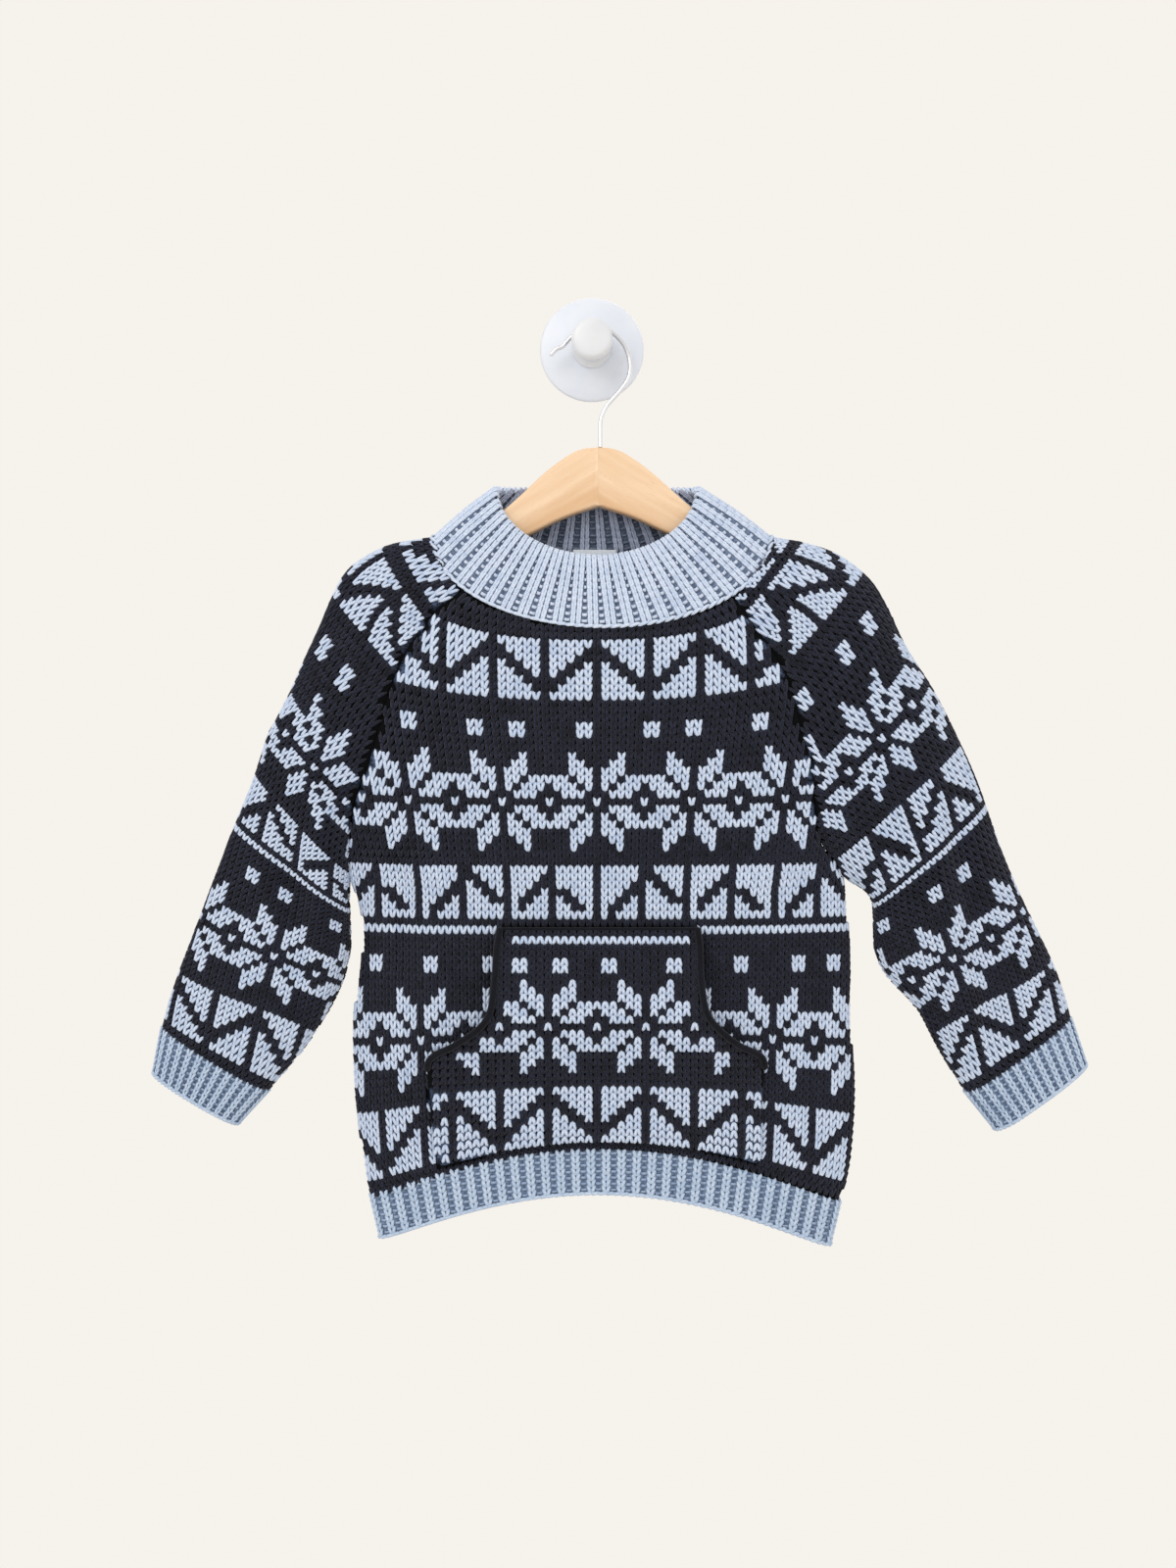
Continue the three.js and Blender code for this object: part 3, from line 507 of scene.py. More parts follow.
@dataclass(frozen=True)
class SleeveForm:
    """One sleeve as a surface, from its front seam round the outer edge to the back."""

    hand: Hand
    body: BodyForm = field(default_factory=BodyForm)

    @property
    def sections(self) -> Array:
        """The table of this sleeve's sections."""
        return SLEEVES[self.hand]

    def _seam(self, side: Side) -> Array:
        """The ends of the sections on the front or back seam.

        Args:
            side: Front or back.

        Returns:
            One point for each section.
        """
        ks = np.arange(UNDERARM + 1, dtype=float)
        edge = np.full_like(ks, -1.0 if self.hand is Hand.LEFT else 1.0)
        seam = self.body.point(ks, edge, side)
        if side is Side.BACK:
            seam[UNDERARM] = self.body.point(ks[-1:], edge[-1:], Side.FRONT)[0]
        inner = self.sections[UNDERARM + 1:]
        below = np.stack([inner[:, INNER_X], inner[:, MID_Y], inner[:, INNER_Z]], axis=1)
        return np.vstack([seam, below])

    def point(self, k: Array, t: Array) -> Array:
        """Points of the sleeve.

        Args:
            k: Places down the table of sections.
            t: Places around, 0 at the front seam, 0.5 outside and 1 at the back seam.

        Returns:
            The points, in millimetres.
        """
        section = along_rows(self.sections, k)
        front, back = along_rows(self._seam(Side.FRONT), k), along_rows(self._seam(Side.BACK), k)
        ahead = t <= 0.5
        way = np.where(ahead, 2 * t, 2 - 2 * t)
        start = np.where(ahead[..., None], front, back)
        turn = np.cos(np.pi * way)
        power = 2 / OVAL
        s = mix(np.sin(np.pi * way / 2) ** power, (1 - signed_power(turn, power)) / 2,
                section[..., CLOSED])
        outer = np.stack([section[..., OUTER_X], section[..., MID_Y], section[..., OUTER_Z]], -1)
        points = mix(start, outer, s[..., None])
        fall = np.abs(np.cos(np.pi * way / 2)) ** power
        arch = np.abs(np.sin(np.pi * way)) ** power
        sense = np.where(ahead, -1.0, 1.0)
        fold = fold_lift(SLEEVE_FOLDS, points[..., 0], points[..., 2]) * np.sin(np.pi * way)
        fold = fold * np.where(ahead, 1.0, SLEEVE_BACK_FOLD)
        points[..., 1] = (section[..., MID_Y] + (start[..., 1] - section[..., MID_Y]) * fall
                          + sense * (section[..., BULGE] * arch + fold))
        near = np.clip(1 - k, 0, 1)[..., None]
        return points + near * (self._neck(t) - points) * near

    def _neck(self, t: Array) -> Array:
        """Points of the neck seam over this sleeve.

        Args:
            t: Places around.

        Returns:
            The points, in millimetres.
        """
        if self.hand is Hand.LEFT:
            ends = (NECK_FRONT[0], -90.0, NECK_BACK[0])
        else:
            ends = (NECK_FRONT[1], 90.0, NECK_BACK[1])
        angle = np.where(t < 0.5, mix(ends[0], ends[1], 2 * t), mix(ends[1], ends[2], 2 * t - 1))
        return ring_point(RINGS[0], angle)

    def knit_line(self, knit: float, t: Array) -> Array:
        """Points along one knit row, once round the sleeve.

        Args:
            knit: Knit row.
            t: Places around.

        Returns:
            The points, in millimetres.
        """
        places = np.arange(len(self.sections), dtype=float)
        outer = np.interp(knit, self.sections[:, OUTER_ROW], places)
        inner = np.interp(knit, self.sections[:, INNER_ROW], places)
        way = np.where(t <= 0.5, 2 * t, 2 - 2 * t)
        return self.point(mix(inner, outer, way), t)


@dataclass
class Cloth:
    """A shell of cloth: its mesh object and the outer face that stitches lie on."""

    piece: Piece
    outer: Array
    tree: BVHTree

    def settle(self, points: Array) -> tuple[Array, Array]:
        """Moves points onto the outer face.

        Args:
            points: Points in millimetres.

        Returns:
            The points on the face, and the face's normals there.
        """
        found = [self.tree.find_nearest(Vector(p)) for p in points]
        return (np.array([f[0] for f in found]), np.array([f[1] for f in found]))


def show(thing: Piece) -> None:
    """Links an object to the scene."""
    bpy.context.scene.collection.objects.link(thing)


def new_object(name: str, points: Array, faces: list, smooth: bool = True) -> Piece:
    """Makes a mesh object from points in millimetres, linked to the scene.

    Args:
        name: Name of the piece.
        points: Its points.
        faces: Its faces, as lists of point numbers.
        smooth: Whether it is shaded smooth.

    Returns:
        The piece.
    """
    mesh = bpy.data.meshes.new(name)
    mesh.from_pydata([tuple(p) for p in np.asarray(points) * MM], [], faces)
    mesh.validate()
    if smooth:
        mesh.shade_smooth()
    piece = bpy.data.objects.new(name, mesh)
    show(piece)
    return piece


def cloth_shell(name: str, grid: Array, outward: int, thick: float, sink: Array | float = 0.0,
                wrap: bool = False, closed_from: int | None = None,
                inner_extra: Array | float = 0.0) -> Cloth:
    """Builds a closed shell of cloth from a grid of points.

    Args:
        name: Name of the piece.
        grid: Points as rows, columns and coordinates, on the cloth's mean outer face.
        outward: 1 or -1, which way the grid's faces look out.
        thick: Thickness of the shell.
        sink: How far its outer face lies under the grid.
        wrap: Whether the last column meets the first.
        closed_from: First row at which the last column lies on the first one.
        inner_extra: Further depth of the inner face, for each point.

    Returns:
        The shell.
    """
    rows, columns = grid.shape[:2]
    normals = grid_normals(grid, outward, wrap)
    if closed_from is not None:
        joint = normals[closed_from:, 0] + normals[closed_from:, -1]
        joint = joint / np.linalg.norm(joint, axis=-1, keepdims=True)
        normals[closed_from:, 0] = joint
        normals[closed_from:, -1] = joint
    outer = grid - normals * np.asarray(sink)[..., None]
    inner = outer - normals * (thick + np.asarray(inner_extra))[..., None]
    index = np.arange(rows * columns).reshape(rows, columns)
    if closed_from is not None:
        index[closed_from:, -1] = index[closed_from:, 0]
    across = columns if wrap else columns - 1
    faces = []
    for r in range(rows - 1):
        for c in range(across):
            d = (c + 1) % columns
            corners = (index[r, c], index[r + 1, c], index[r + 1, d], index[r, d])
            faces.append([int(i) for i in (corners if outward > 0 else corners[::-1])])
    count = rows * columns
    edges = {(a, b) for f in faces for a, b in zip(f, f[1:] + f[:1])}
    rims = [[b, a, a + count, b + count] for a, b in edges if (b, a) not in edges]
    backs = [[i + count for i in reversed(f)] for f in faces]
    points = np.vstack([outer.reshape(-1, 3), inner.reshape(-1, 3)])
    tree = BVHTree.FromPolygons([tuple(p) for p in outer.reshape(-1, 3)], faces)
    piece = new_object(name, points, faces + backs + sorted(rims))
    drop_loose_points(piece)
    return Cloth(piece, outer, tree)


def drop_loose_points(piece: Piece) -> None:
    """Takes out the points of a mesh that no face uses.

    Args:
        piece: The piece to clean.
    """
    shape = bmesh.new()
    shape.from_mesh(piece.data)
    loose = [v for v in shape.verts if not v.link_faces]
    bmesh.ops.delete(shape, geom=loose, context="VERTS")
    shape.to_mesh(piece.data)
    shape.free()


@dataclass
class StitchRun:
    """Stitches to be made: places, directions, sizes and yarns."""

    rows: list = field(default_factory=list)

    def add(self, place: Array, facing: Array, upward: Array, size: Array, blue: Array) -> None:
        """Adds stitches, one array row for each.

        Args:
            place: Where they lie.
            facing: The way out of the cloth.
            upward: The way up the column.
            size: Width, height and 1.
            blue: Whether they are of blue yarn.
        """
        self.rows.append({"place": place, "facing": facing, "upward": upward, "size": size,
                          "blue": blue})

    def joined(self) -> dict[str, Array]:
        """All the stitches so far, as one array for each property."""
        return {name: np.concatenate([row[name] for row in self.rows]) for name in self.rows[0]}


def lay_row(run: StitchRun, cloth: Cloth, where: Array, across: Array, tall: Array,
            pitch: float, up: tuple, blue: Array) -> None:
    """Adds one knit row's stitches to a run, settled on a shell.

    Args:
        run: The run.
        cloth: The shell.
        where: Places of the stitches.
        across: The way along the row, for each of them.
        tall: Their heights.
        pitch: Their width.
        up: Roughly the way that their points look away from.
        blue: Whether they are of blue yarn.
    """
    place, facing = cloth.settle(where)
    upward = np.cross(facing, across)
    upward *= np.where(upward @ np.array(up) < 0, -1, 1)[:, None]
    size = np.stack([np.full(len(place), pitch), tall, np.ones(len(place))], axis=1)
    run.add(place, facing, upward, size, blue)


@dataclass(frozen=True)
class StitchShape:
    """The mesh of one stitch, as strands of yarn in a cell of one unit each way.

    A strand is four points: its two ends and the middles of its two rings.
    """

    name: str
    strand: tuple
    girth: float
    depth: float
    mirrored: bool = True
    sides: int = 5

    def build(self) -> Piece:
        """Makes the stitch as an object that isn't linked to the scene.

        Returns:
            The object.
        """
        points: list = []
        faces: list = []
        for sense in (-1, 1) if self.mirrored else (1,):
            self._strand(sense, points, faces)
        mesh = bpy.data.meshes.new(self.name)
        mesh.from_pydata(points, [], faces)
        mesh.shade_smooth()
        return bpy.data.objects.new(self.name, mesh)

    def _strand(self, sense: int, points: list, faces: list) -> None:
        """Adds one strand to the lists of points and faces.

        Args:
            sense: 1, or -1 for the mirrored strand.
            points: Points so far.
            faces: Faces so far.
        """
        start = len(points)
        path = [Vector((sense * x, y, z)) for x, y, z in self.strand]
        points.append(tuple(path[0]))
        for middle, ahead, behind in ((path[1], path[2], path[0]), (path[2], path[3], path[1])):
            along = (ahead - behind).normalized()
            across = along.cross(Vector((0, 0, 1))).normalized()
            up = across.cross(along)
            for i in range(self.sides):
                angle = 2 * math.pi * (i + 0.5) / self.sides
                offset = (across * math.cos(angle) * self.girth
                          + up * math.sin(angle) * self.depth)
                points.append(tuple(middle + offset))
        points.append(tuple(path[3]))
        first, second, tip = start + 1, start + 1 + self.sides, start + 1 + 2 * self.sides
        for i in range(self.sides):
            j = (i + 1) % self.sides
            faces.append((start, first + i, first + j)[::-1])
            faces.append((first + i, second + i, second + j, first + j)[::-1])
            faces.append((second + i, tip, second + j)[::-1])


KNIT_STITCH = StitchShape("knit_stitch", ((0.03, -0.70, 0.02), (0.13, -0.30, 0.42),
                                          (0.30, 0.36, 0.36), (0.45, 0.82, -0.22)), 0.235, 0.40)
RIB_STITCH = StitchShape("rib_stitch", ((0.10, -1.0, 0.1), (0.16, -0.50, 0.40),
                                        (0.23, 0.50, 0.42), (0.28, 1.0, 0.1)), 0.27, 0.44)
PURL_BUMP = StitchShape("purl_bump", ((-0.62, 0.30, -0.1), (-0.24, -0.10, 0.34),
                                      (0.24, -0.10, 0.34), (0.62, 0.30, -0.1)), 0.27, 0.38, False)
CHAIN_LINK = StitchShape("chain_link", ((-0.66, -0.16, -0.1), (-0.26, -0.06, 0.34),
                                        (0.26, 0.06, 0.34), (0.66, 0.16, -0.1)), 0.34, 0.42, False)


class StitchMaker:
    """Turns runs of stitches into meshes with Geometry Nodes."""

    THICKNESS = "Stitch thickness"
    SHAPE = "Stitch"
    FINISH = "Finish"

    def __init__(self) -> None:
        """Builds the stitches' meshes and the node tree that lays them out."""
        shapes = (KNIT_STITCH, RIB_STITCH, PURL_BUMP, CHAIN_LINK)
        self.stitches = {shape: shape.build() for shape in shapes}
        self.tree = self._tree()
        self.random = np.random.default_rng(SEED)

    def _tree(self) -> bpy.types.GeometryNodeTree:
        """The tree: a stitch on each point, turned and scaled by the point's attributes.

        Returns:
            The node tree.
        """
        tree = bpy.data.node_groups.new("lay_stitches", "GeometryNodeTree")
        sockets = tree.interface
        sockets.new_socket("Geometry", in_out="INPUT", socket_type="NodeSocketGeometry")
        sockets.new_socket(self.SHAPE, in_out="INPUT", socket_type="NodeSocketObject")
        sockets.new_socket(self.FINISH, in_out="INPUT", socket_type="NodeSocketMaterial")
        sockets.new_socket(self.THICKNESS, in_out="INPUT", socket_type="NodeSocketFloat")
        sockets.new_socket("Geometry", in_out="OUTPUT", socket_type="NodeSocketGeometry")
        new, link = tree.nodes.new, tree.links.new
        source, result = new("NodeGroupInput"), new("NodeGroupOutput")
        info, place = new("GeometryNodeObjectInfo"), new("GeometryNodeInstanceOnPoints")
        turn = new("FunctionNodeAxesToRotation")
        turn.primary_axis, turn.secondary_axis = "Z", "Y"
        realize, finish = new("GeometryNodeRealizeInstances"), new("GeometryNodeSetMaterial")
        split, join = new("ShaderNodeSeparateXYZ"), new("ShaderNodeCombineXYZ")
        for output, node, name in (
                (source.outputs[self.SHAPE], info, "Object"),
                (self._attribute(tree, "facing"), turn, "Primary Axis"),
                (self._attribute(tree, "upward"), turn, "Secondary Axis"),
                (self._attribute(tree, "stitch_size"), split, 0),
                (split.outputs["X"], join, "X"), (split.outputs["Y"], join, "Y"),
                (source.outputs[self.THICKNESS], join, "Z"),
                (source.outputs["Geometry"], place, "Points"),
                (info.outputs["Geometry"], place, "Instance"),
                (turn.outputs["Rotation"], place, "Rotation"),
                (join.outputs["Vector"], place, "Scale"),
                (place.outputs["Instances"], realize, "Geometry"),
                (realize.outputs["Geometry"], finish, "Geometry"),
                (source.outputs[self.FINISH], finish, "Material"),
                (finish.outputs["Geometry"], result, "Geometry")):
            link(output, node.inputs[name])
        return tree

    @staticmethod
    def _attribute(tree: bpy.types.GeometryNodeTree, name: str) -> Socket:
        """A node that reads a vector attribute of the points.

        Args:
            tree: The node tree.
            name: Name of the attribute.

        Returns:
            The node's output.
        """
        node = tree.nodes.new("GeometryNodeInputNamedAttribute")
        node.data_type = "FLOAT_VECTOR"
        node.inputs["Name"].default_value = name
        return node.outputs["Attribute"]

    def make(self, name: str, run: dict[str, Array], keep: Array,
             material: Material, thick: float = STITCH_THICK,
             shape: StitchShape = KNIT_STITCH) -> Piece | None:
        """Makes one mesh of stitches.

        Args:
            name: Name of the piece.
            run: Stitches, as StitchRun.joined gives them.
            keep: Which of them to make.
            material: Finish of the yarn.
            thick: Height of a stitch, in millimetres.
            shape: Which stitch to lay.

        Returns:
            The piece, or None where no stitch is kept.
        """
        count = int(keep.sum())
        if not count:
            return None
        holder = new_object(f"{name}_points", run["place"][keep], [], smooth=False)
        for attribute, values in (("facing", run["facing"]), ("upward", run["upward"]),
                                  ("stitch_size", run["size"] * MM)):
            layer = holder.data.attributes.new(attribute, "FLOAT_VECTOR", "POINT")
            layer.data.foreach_set("vector", np.ascontiguousarray(values[keep], np.float32).ravel())
        tone = holder.data.attributes.new("tone", "FLOAT", "POINT")
        tone.data.foreach_set("value", self.random.random(count).astype(np.float32))
        modifier = holder.modifiers.new("stitches", "NODES")
        modifier.node_group = self.tree
        values = {self.SHAPE: self.stitches[shape], self.FINISH: material,
                  self.THICKNESS: thick * MM}
        for socket in self.tree.interface.items_tree:
            if socket.in_out == "INPUT" and socket.name in values:
                modifier[socket.identifier] = values[socket.name]
        made = holder.evaluated_get(bpy.context.evaluated_depsgraph_get())
        mesh = bpy.data.meshes.new_from_object(made)
        mesh.name = name
        bpy.data.objects.remove(holder)
        piece = bpy.data.objects.new(name, mesh)
        show(piece)
        LOG.info("%s: %d stitches", name, count)
        return piece

    def pattern(self, name: str, run: dict[str, Array], wardrobe: Wardrobe) -> list:
        """Makes the navy and the blue stitches of a patterned piece.

        Args:
            name: Name of the piece of cloth.
            run: Its stitches.
            wardrobe: The finishes.

        Returns:
            The two meshes; either may be None.
        """
        blue = run["blue"].astype(bool)
        return [self.make(f"{name}_navy_stitches", run, ~blue, wardrobe.navy),
                self.make(f"{name}_blue_stitches", run, blue, wardrobe.blue)]

    def clear(self) -> None:
        """Takes the stitches' own meshes away once all is made."""
        for stitch in self.stitches.values():
            bpy.data.objects.remove(stitch)


def paint_cloth(cloth: Cloth, run: dict[str, Array]) -> None:
    """Gives each point of a shell the yarn of its nearest stitch, in the attribute yarn.

    Args:
        cloth: The shell.
        run: Its stitches.
    """
    tree = KDTree(len(run["place"]))
    for i, place in enumerate(run["place"]):
        tree.insert(Vector(place), i)
    tree.balance()
    mesh = cloth.piece.data
    layer = mesh.attributes.new("yarn", "FLOAT", "POINT")
    nearest = [tree.find(v.co / MM) for v in mesh.vertices]
    # Points further than BARE_CLOTH from every stitch get 0, the ground's near-black navy: painted
    # shade in seams and gaps.
    values = [float(run["blue"][i]) if away < BARE_CLOTH else 0.0 for _, i, away in nearest]
    layer.data.foreach_set("value", values)


# Finishes


class NodeBook:
    """A short way to write a material's nodes."""

    def __init__(self, name: str) -> None:
        """Starts a material with a Principled shader.

        Args:
            name: Name of the material.
        """
        self.material = bpy.data.materials.new(name)
        self.material.use_nodes = True
        self.tree = self.material.node_tree
        self.shader = self.tree.nodes["Principled BSDF"]
        self.place = self.tree.nodes.new("ShaderNodeTexCoord").outputs["Object"]

    def link(self, source: Socket, target: Socket) -> None:
        """Joins two sockets."""
        self.tree.links.new(source, target)

    def mapped(self, scale: tuple[float, float, float], angle: float = 0.0) -> Socket:
        """Object coordinates, turned about Y by an angle and scaled.

        Args:
            scale: Scale along each axis.
            angle: Angle in radians.

        Returns:
            The coordinates.
        """
        node = self.tree.nodes.new("ShaderNodeMapping")
        node.vector_type = "TEXTURE" if angle else "POINT"
        node.inputs["Rotation"].default_value = (0, angle, 0)
        node.inputs["Scale"].default_value = tuple(1 / s for s in scale) if angle else scale
        self.link(self.place, node.inputs["Vector"])
        return node.outputs["Vector"]

    def noise(self, scale: float, detail: float = 2.0,
              vector: Socket | None = None) -> Socket:
        """A noise value from 0 to 1.

        Args:
            scale: Scale of the noise.
            detail: Its detail.
            vector: Coordinates, or None for plain ones.

        Returns:
            The value.
        """
        node = self.tree.nodes.new("ShaderNodeTexNoise")
        node.inputs["Scale"].default_value = scale
        node.inputs["Detail"].default_value = detail
        self.link(vector or self.place, node.inputs["Vector"])
        return node.outputs["Fac"]

    def attribute(self, name: str) -> Socket:
        """A number stored on the mesh.

        Args:
            name: Name of the attribute.

        Returns:
            The number.
        """
        node = self.tree.nodes.new("ShaderNodeAttribute")
        node.attribute_name = name
        return node.outputs["Fac"]

    def blend(self, factor: Socket, first: tuple | Socket,
              second: tuple | Socket) -> Socket:
        """A colour between two others.

        Args:
            factor: Share of the second.
            first, second: The colours.

        Returns:
            The colour.
        """
        node = self.tree.nodes.new("ShaderNodeMix")
        node.data_type = "RGBA"
        self.link(factor, node.inputs["Factor"])
        for socket, value in ((node.inputs[6], first), (node.inputs[7], second)):
            if isinstance(value, tuple):
                socket.default_value = (*value, 1.0)
            else:
                self.link(value, socket)
        return node.outputs[2]

    def spread(self, value: Socket, low: float, high: float,
               to_low: float = 0.0, to_high: float = 1.0) -> Socket:
        """A value moved from one range to another.

        Args:
            value: The value.
            low, high: Ends of the value's range.
            to_low, to_high: Ends of the new range.

        Returns:
            The moved value.
        """
        node = self.tree.nodes.new("ShaderNodeMapRange")
        for name, number in (("From Min", low), ("From Max", high), ("To Min", to_low),
                             ("To Max", to_high)):
            node.inputs[name].default_value = number
        self.link(value, node.inputs["Value"])
        return node.outputs["Result"]

    def bump(self, height: Socket, strength: float, distance: float) -> None:
        """Roughens the surface by a height.

        Args:
            height: The height.
            strength, distance: Strength and depth of the effect.
        """
        node = self.tree.nodes.new("ShaderNodeBump")
        node.inputs["Strength"].default_value = strength
        node.inputs["Distance"].default_value = distance
        self.link(height, node.inputs["Height"])
        self.link(node.outputs["Normal"], self.shader.inputs["Normal"])

    def set(self, **values: float | tuple) -> None:
        """Sets the shader's own sockets; an underscore in a name stands for a space."""
        for name, value in values.items():
            self.shader.inputs[name.replace("_", " ")].default_value = value

    def colour(self, socket: Socket, plain: tuple[float, float, float]) -> None:
        """Gives the shader its colour, and a plain one of the same mean underneath.

        Args:
            socket: The colour shown.
            plain: The plain colour.
        """
        self.shader.inputs["Base Color"].default_value = (*plain, 1.0)
        self.material.diffuse_color = (*plain, 1.0)
        self.link(socket, self.shader.inputs["Base Color"])


def srgb(red: int, green: int, blue: int) -> Colour:
    """A colour given as shown on a screen, in the renderer's own numbers.

    Args:
        red, green, blue: Numbers from 0 to 255.

    Returns:
        The linear colour.
    """
    def linear(value: int) -> float:
        """One of the numbers, from 0 to 1 in linear light."""
        share = value / 255
        return share / 12.92 if share <= 0.04045 else ((share + 0.055) / 1.055) ** 2.4

    return linear(red), linear(green), linear(blue)


@dataclass(frozen=True)
class YarnFinish:
    """Soft spun yarn: its colour varies from stitch to stitch and along its plies."""

    name: str
    deep: Colour
    full: Colour
    ply: float = 950.0
    fuzz: float = 0.35

    def material(self) -> Material:
        """Makes the material.

        Returns:
            The material.
        """
        book = NodeBook(self.name)
        tone = book.attribute("tone")
        patch = book.noise(60.0, 3.0)
        fibre = book.noise(self.ply, 3.0)
        worn = book.blend(book.spread(tone, 0.0, 1.0, 0.25, 1.0), self.deep, self.full)
        lit = book.blend(book.spread(patch, 0.35, 0.65), worn, self.full)
        shown = book.blend(book.spread(fibre, 0.3, 0.72), self.deep, lit)
        mean = tuple((a + 3 * b) / 4 for a, b in zip(self.deep, self.full))
        book.colour(shown, mean)
        book.set(Roughness=0.92, Sheen_Weight=0.12, Sheen_Roughness=0.5, Specular_IOR_Level=0.15)
        book.bump(fibre, self.fuzz, 0.0004)
        return book.material


@dataclass(frozen=True)
class GroundFinish:
    """The cloth between and behind the stitches, coloured by the yarn that lies there and darker
    than that yarn: painted shade.
    """

    name: str
    navy: Colour
    blue: Colour

    def material(self) -> Material:
        """Makes the material.

        Returns:
            The material.
        """
        book = NodeBook(self.name)
        # Painted shade: the attribute yarn is the nearest stitch's yarn on knit cloth and the crown
        # height on a ribbed band, so the first colour darkens the gaps and the rib valleys.
        yarn = book.blend(book.attribute("yarn"), self.navy, self.blue)
        # Painted shade: the inner face of a band, where the attribute inside is 1, darkens to a
        # quarter of the first colour.
        yarn = book.blend(book.attribute("inside"), yarn, tuple(0.25 * c for c in self.navy))
        shade = tuple(0.6 * c for c in self.navy)
        strand = book.noise(700.0, 3.0)
        book.colour(book.blend(book.spread(strand, 0.3, 0.6), shade, yarn), self.navy)
        book.set(Roughness=0.95, Specular_IOR_Level=0.15)
        book.bump(strand, 0.4, 0.0004)
        return book.material


@dataclass(frozen=True)
class BirchFinish:
    """Lacquered pale wood with its grain along the arm."""

    name: str
    angle: float
    pale: Colour = srgb(236, 206, 172)
    warm: Colour = srgb(219, 178, 136)
    pore: Colour = srgb(198, 154, 110)

    def material(self) -> Material:
        """Makes the material.

        Returns:
            The material.
        """
        book = NodeBook(self.name)
        grain = book.mapped((9.0, 60.0, 95.0), self.angle)
        rings = book.noise(1.0, 4.0, grain)
        pores = book.noise(6.0, 2.0, book.mapped((40.0, 300.0, 420.0), self.angle))
        ground = book.blend(book.spread(rings, 0.35, 0.68), self.pale, self.warm)
        shown = book.blend(book.spread(pores, 0.62, 0.8, 0.0, 0.55), ground, self.pore)
        book.colour(shown, self.pale)
        book.set(Specular_IOR_Level=0.45, Coat_Weight=0.25, Coat_Roughness=0.25)
        book.link(book.spread(rings, 0.0, 1.0, 0.38, 0.52), book.shader.inputs["Roughness"])
        book.bump(pores, 0.12, 0.0003)
        return book.material


@dataclass(frozen=True)
class WireFinish:
    """Bright plated wire with fine drawing marks."""

    name: str = "plated_wire"
    bright: Colour = (0.76, 0.77, 0.80)
    dull: Colour = (0.68, 0.69, 0.72)

    def material(self) -> Material:
        """Makes the material.

        Returns:
            The material.
        """
        book = NodeBook(self.name)
        marks = book.noise(2600.0, 2.0)
        book.colour(book.blend(book.spread(marks, 0.35, 0.7), self.bright, self.dull), self.bright)
        book.set(Metallic=1.0)
        book.link(book.spread(marks, 0.2, 0.8, 0.09, 0.16), book.shader.inputs["Roughness"])
        return book.material


@dataclass(frozen=True)
class PlasticFinish:
    """White moulded plastic, a little uneven in gloss."""

    name: str
    colour: Colour
    shade: Colour

    def material(self) -> Material:
        """Makes the material.

        Returns:
            The material.
        """
        book = NodeBook(self.name)
        cloud = book.noise(45.0, 2.0)
        book.colour(book.blend(book.spread(cloud, 0.3, 0.7), self.colour, self.shade), self.colour)
        book.set(Subsurface_Weight=0.15, Subsurface_Radius=(0.004, 0.004, 0.005))
        book.link(book.spread(cloud, 0.2, 0.8, 0.26, 0.4), book.shader.inputs["Roughness"])
        book.bump(book.noise(380.0, 2.0), 0.05, 0.0002)
        return book.material


@dataclass(frozen=True)
class TapeFinish:
    """White woven tape of the blank label."""

    name: str = "label_tape"
    colour: Colour = srgb(226, 232, 240)
    shade: Colour = srgb(188, 198, 212)

    def material(self) -> Material:
        """Makes the material.

        Returns:
            The material.
        """
        book = NodeBook(self.name)
        weave = book.noise(1.0, 1.0, book.mapped((900.0, 900.0, 2600.0)))
        book.colour(book.blend(book.spread(weave, 0.3, 0.7), self.colour, self.shade), self.colour)
        book.set(Roughness=0.8, Sheen_Weight=0.1)
        book.bump(weave, 0.3, 0.0002)
        return book.material


# The deep and the full colour of each yarn
YARNS = {
    "navy": ("navy_yarn", (12, 13, 23), (46, 50, 69)),
    "blue": ("blue_yarn", (178, 195, 223), (223, 232, 246)),
    "band": ("band_yarn", (184, 200, 226), (229, 237, 249)),
    "purl": ("purl_yarn", (180, 196, 222), (229, 237, 249)),
    # Darker copies of the band yarn: painted shade on the inside of the collar, deeper in its
    # valleys.
    "inner": ("inner_band_yarn", (134, 143, 166), (180, 190, 212)),
    "inner_purl": ("inner_purl_yarn", (84, 93, 114), (130, 140, 164)),
    "soft_band": ("soft_band_yarn", (166, 187, 214), (210, 223, 241)),
    # Darker than the soft band yarn: painted shade in the rib valleys of the hem and cuffs.
    "soft_purl": ("soft_purl_yarn", (136, 157, 188), (182, 200, 224)),
    # Darker than the navy yarn: the pocket's dark edging, with painted shadow at its openings.
    "edging": ("edging_yarn", (8, 9, 15), (22, 25, 37)),
}
# The colours of each ground. On the knit cloth they are where its dark and its pale yarn lie,
# darker than those yarns: painted shade between the stitches. On the ribbed bands the first is the
# painted shade of the rib valleys and the second the colour on the crests.
GROUNDS = {
    "ground": ("knit_ground", (5, 6, 10), (84, 100, 130)),
    "valley": ("band_ground", (120, 136, 164), (154, 172, 202)),
    "soft_valley": ("soft_band_ground", (116, 136, 166), (160, 180, 208)),
}


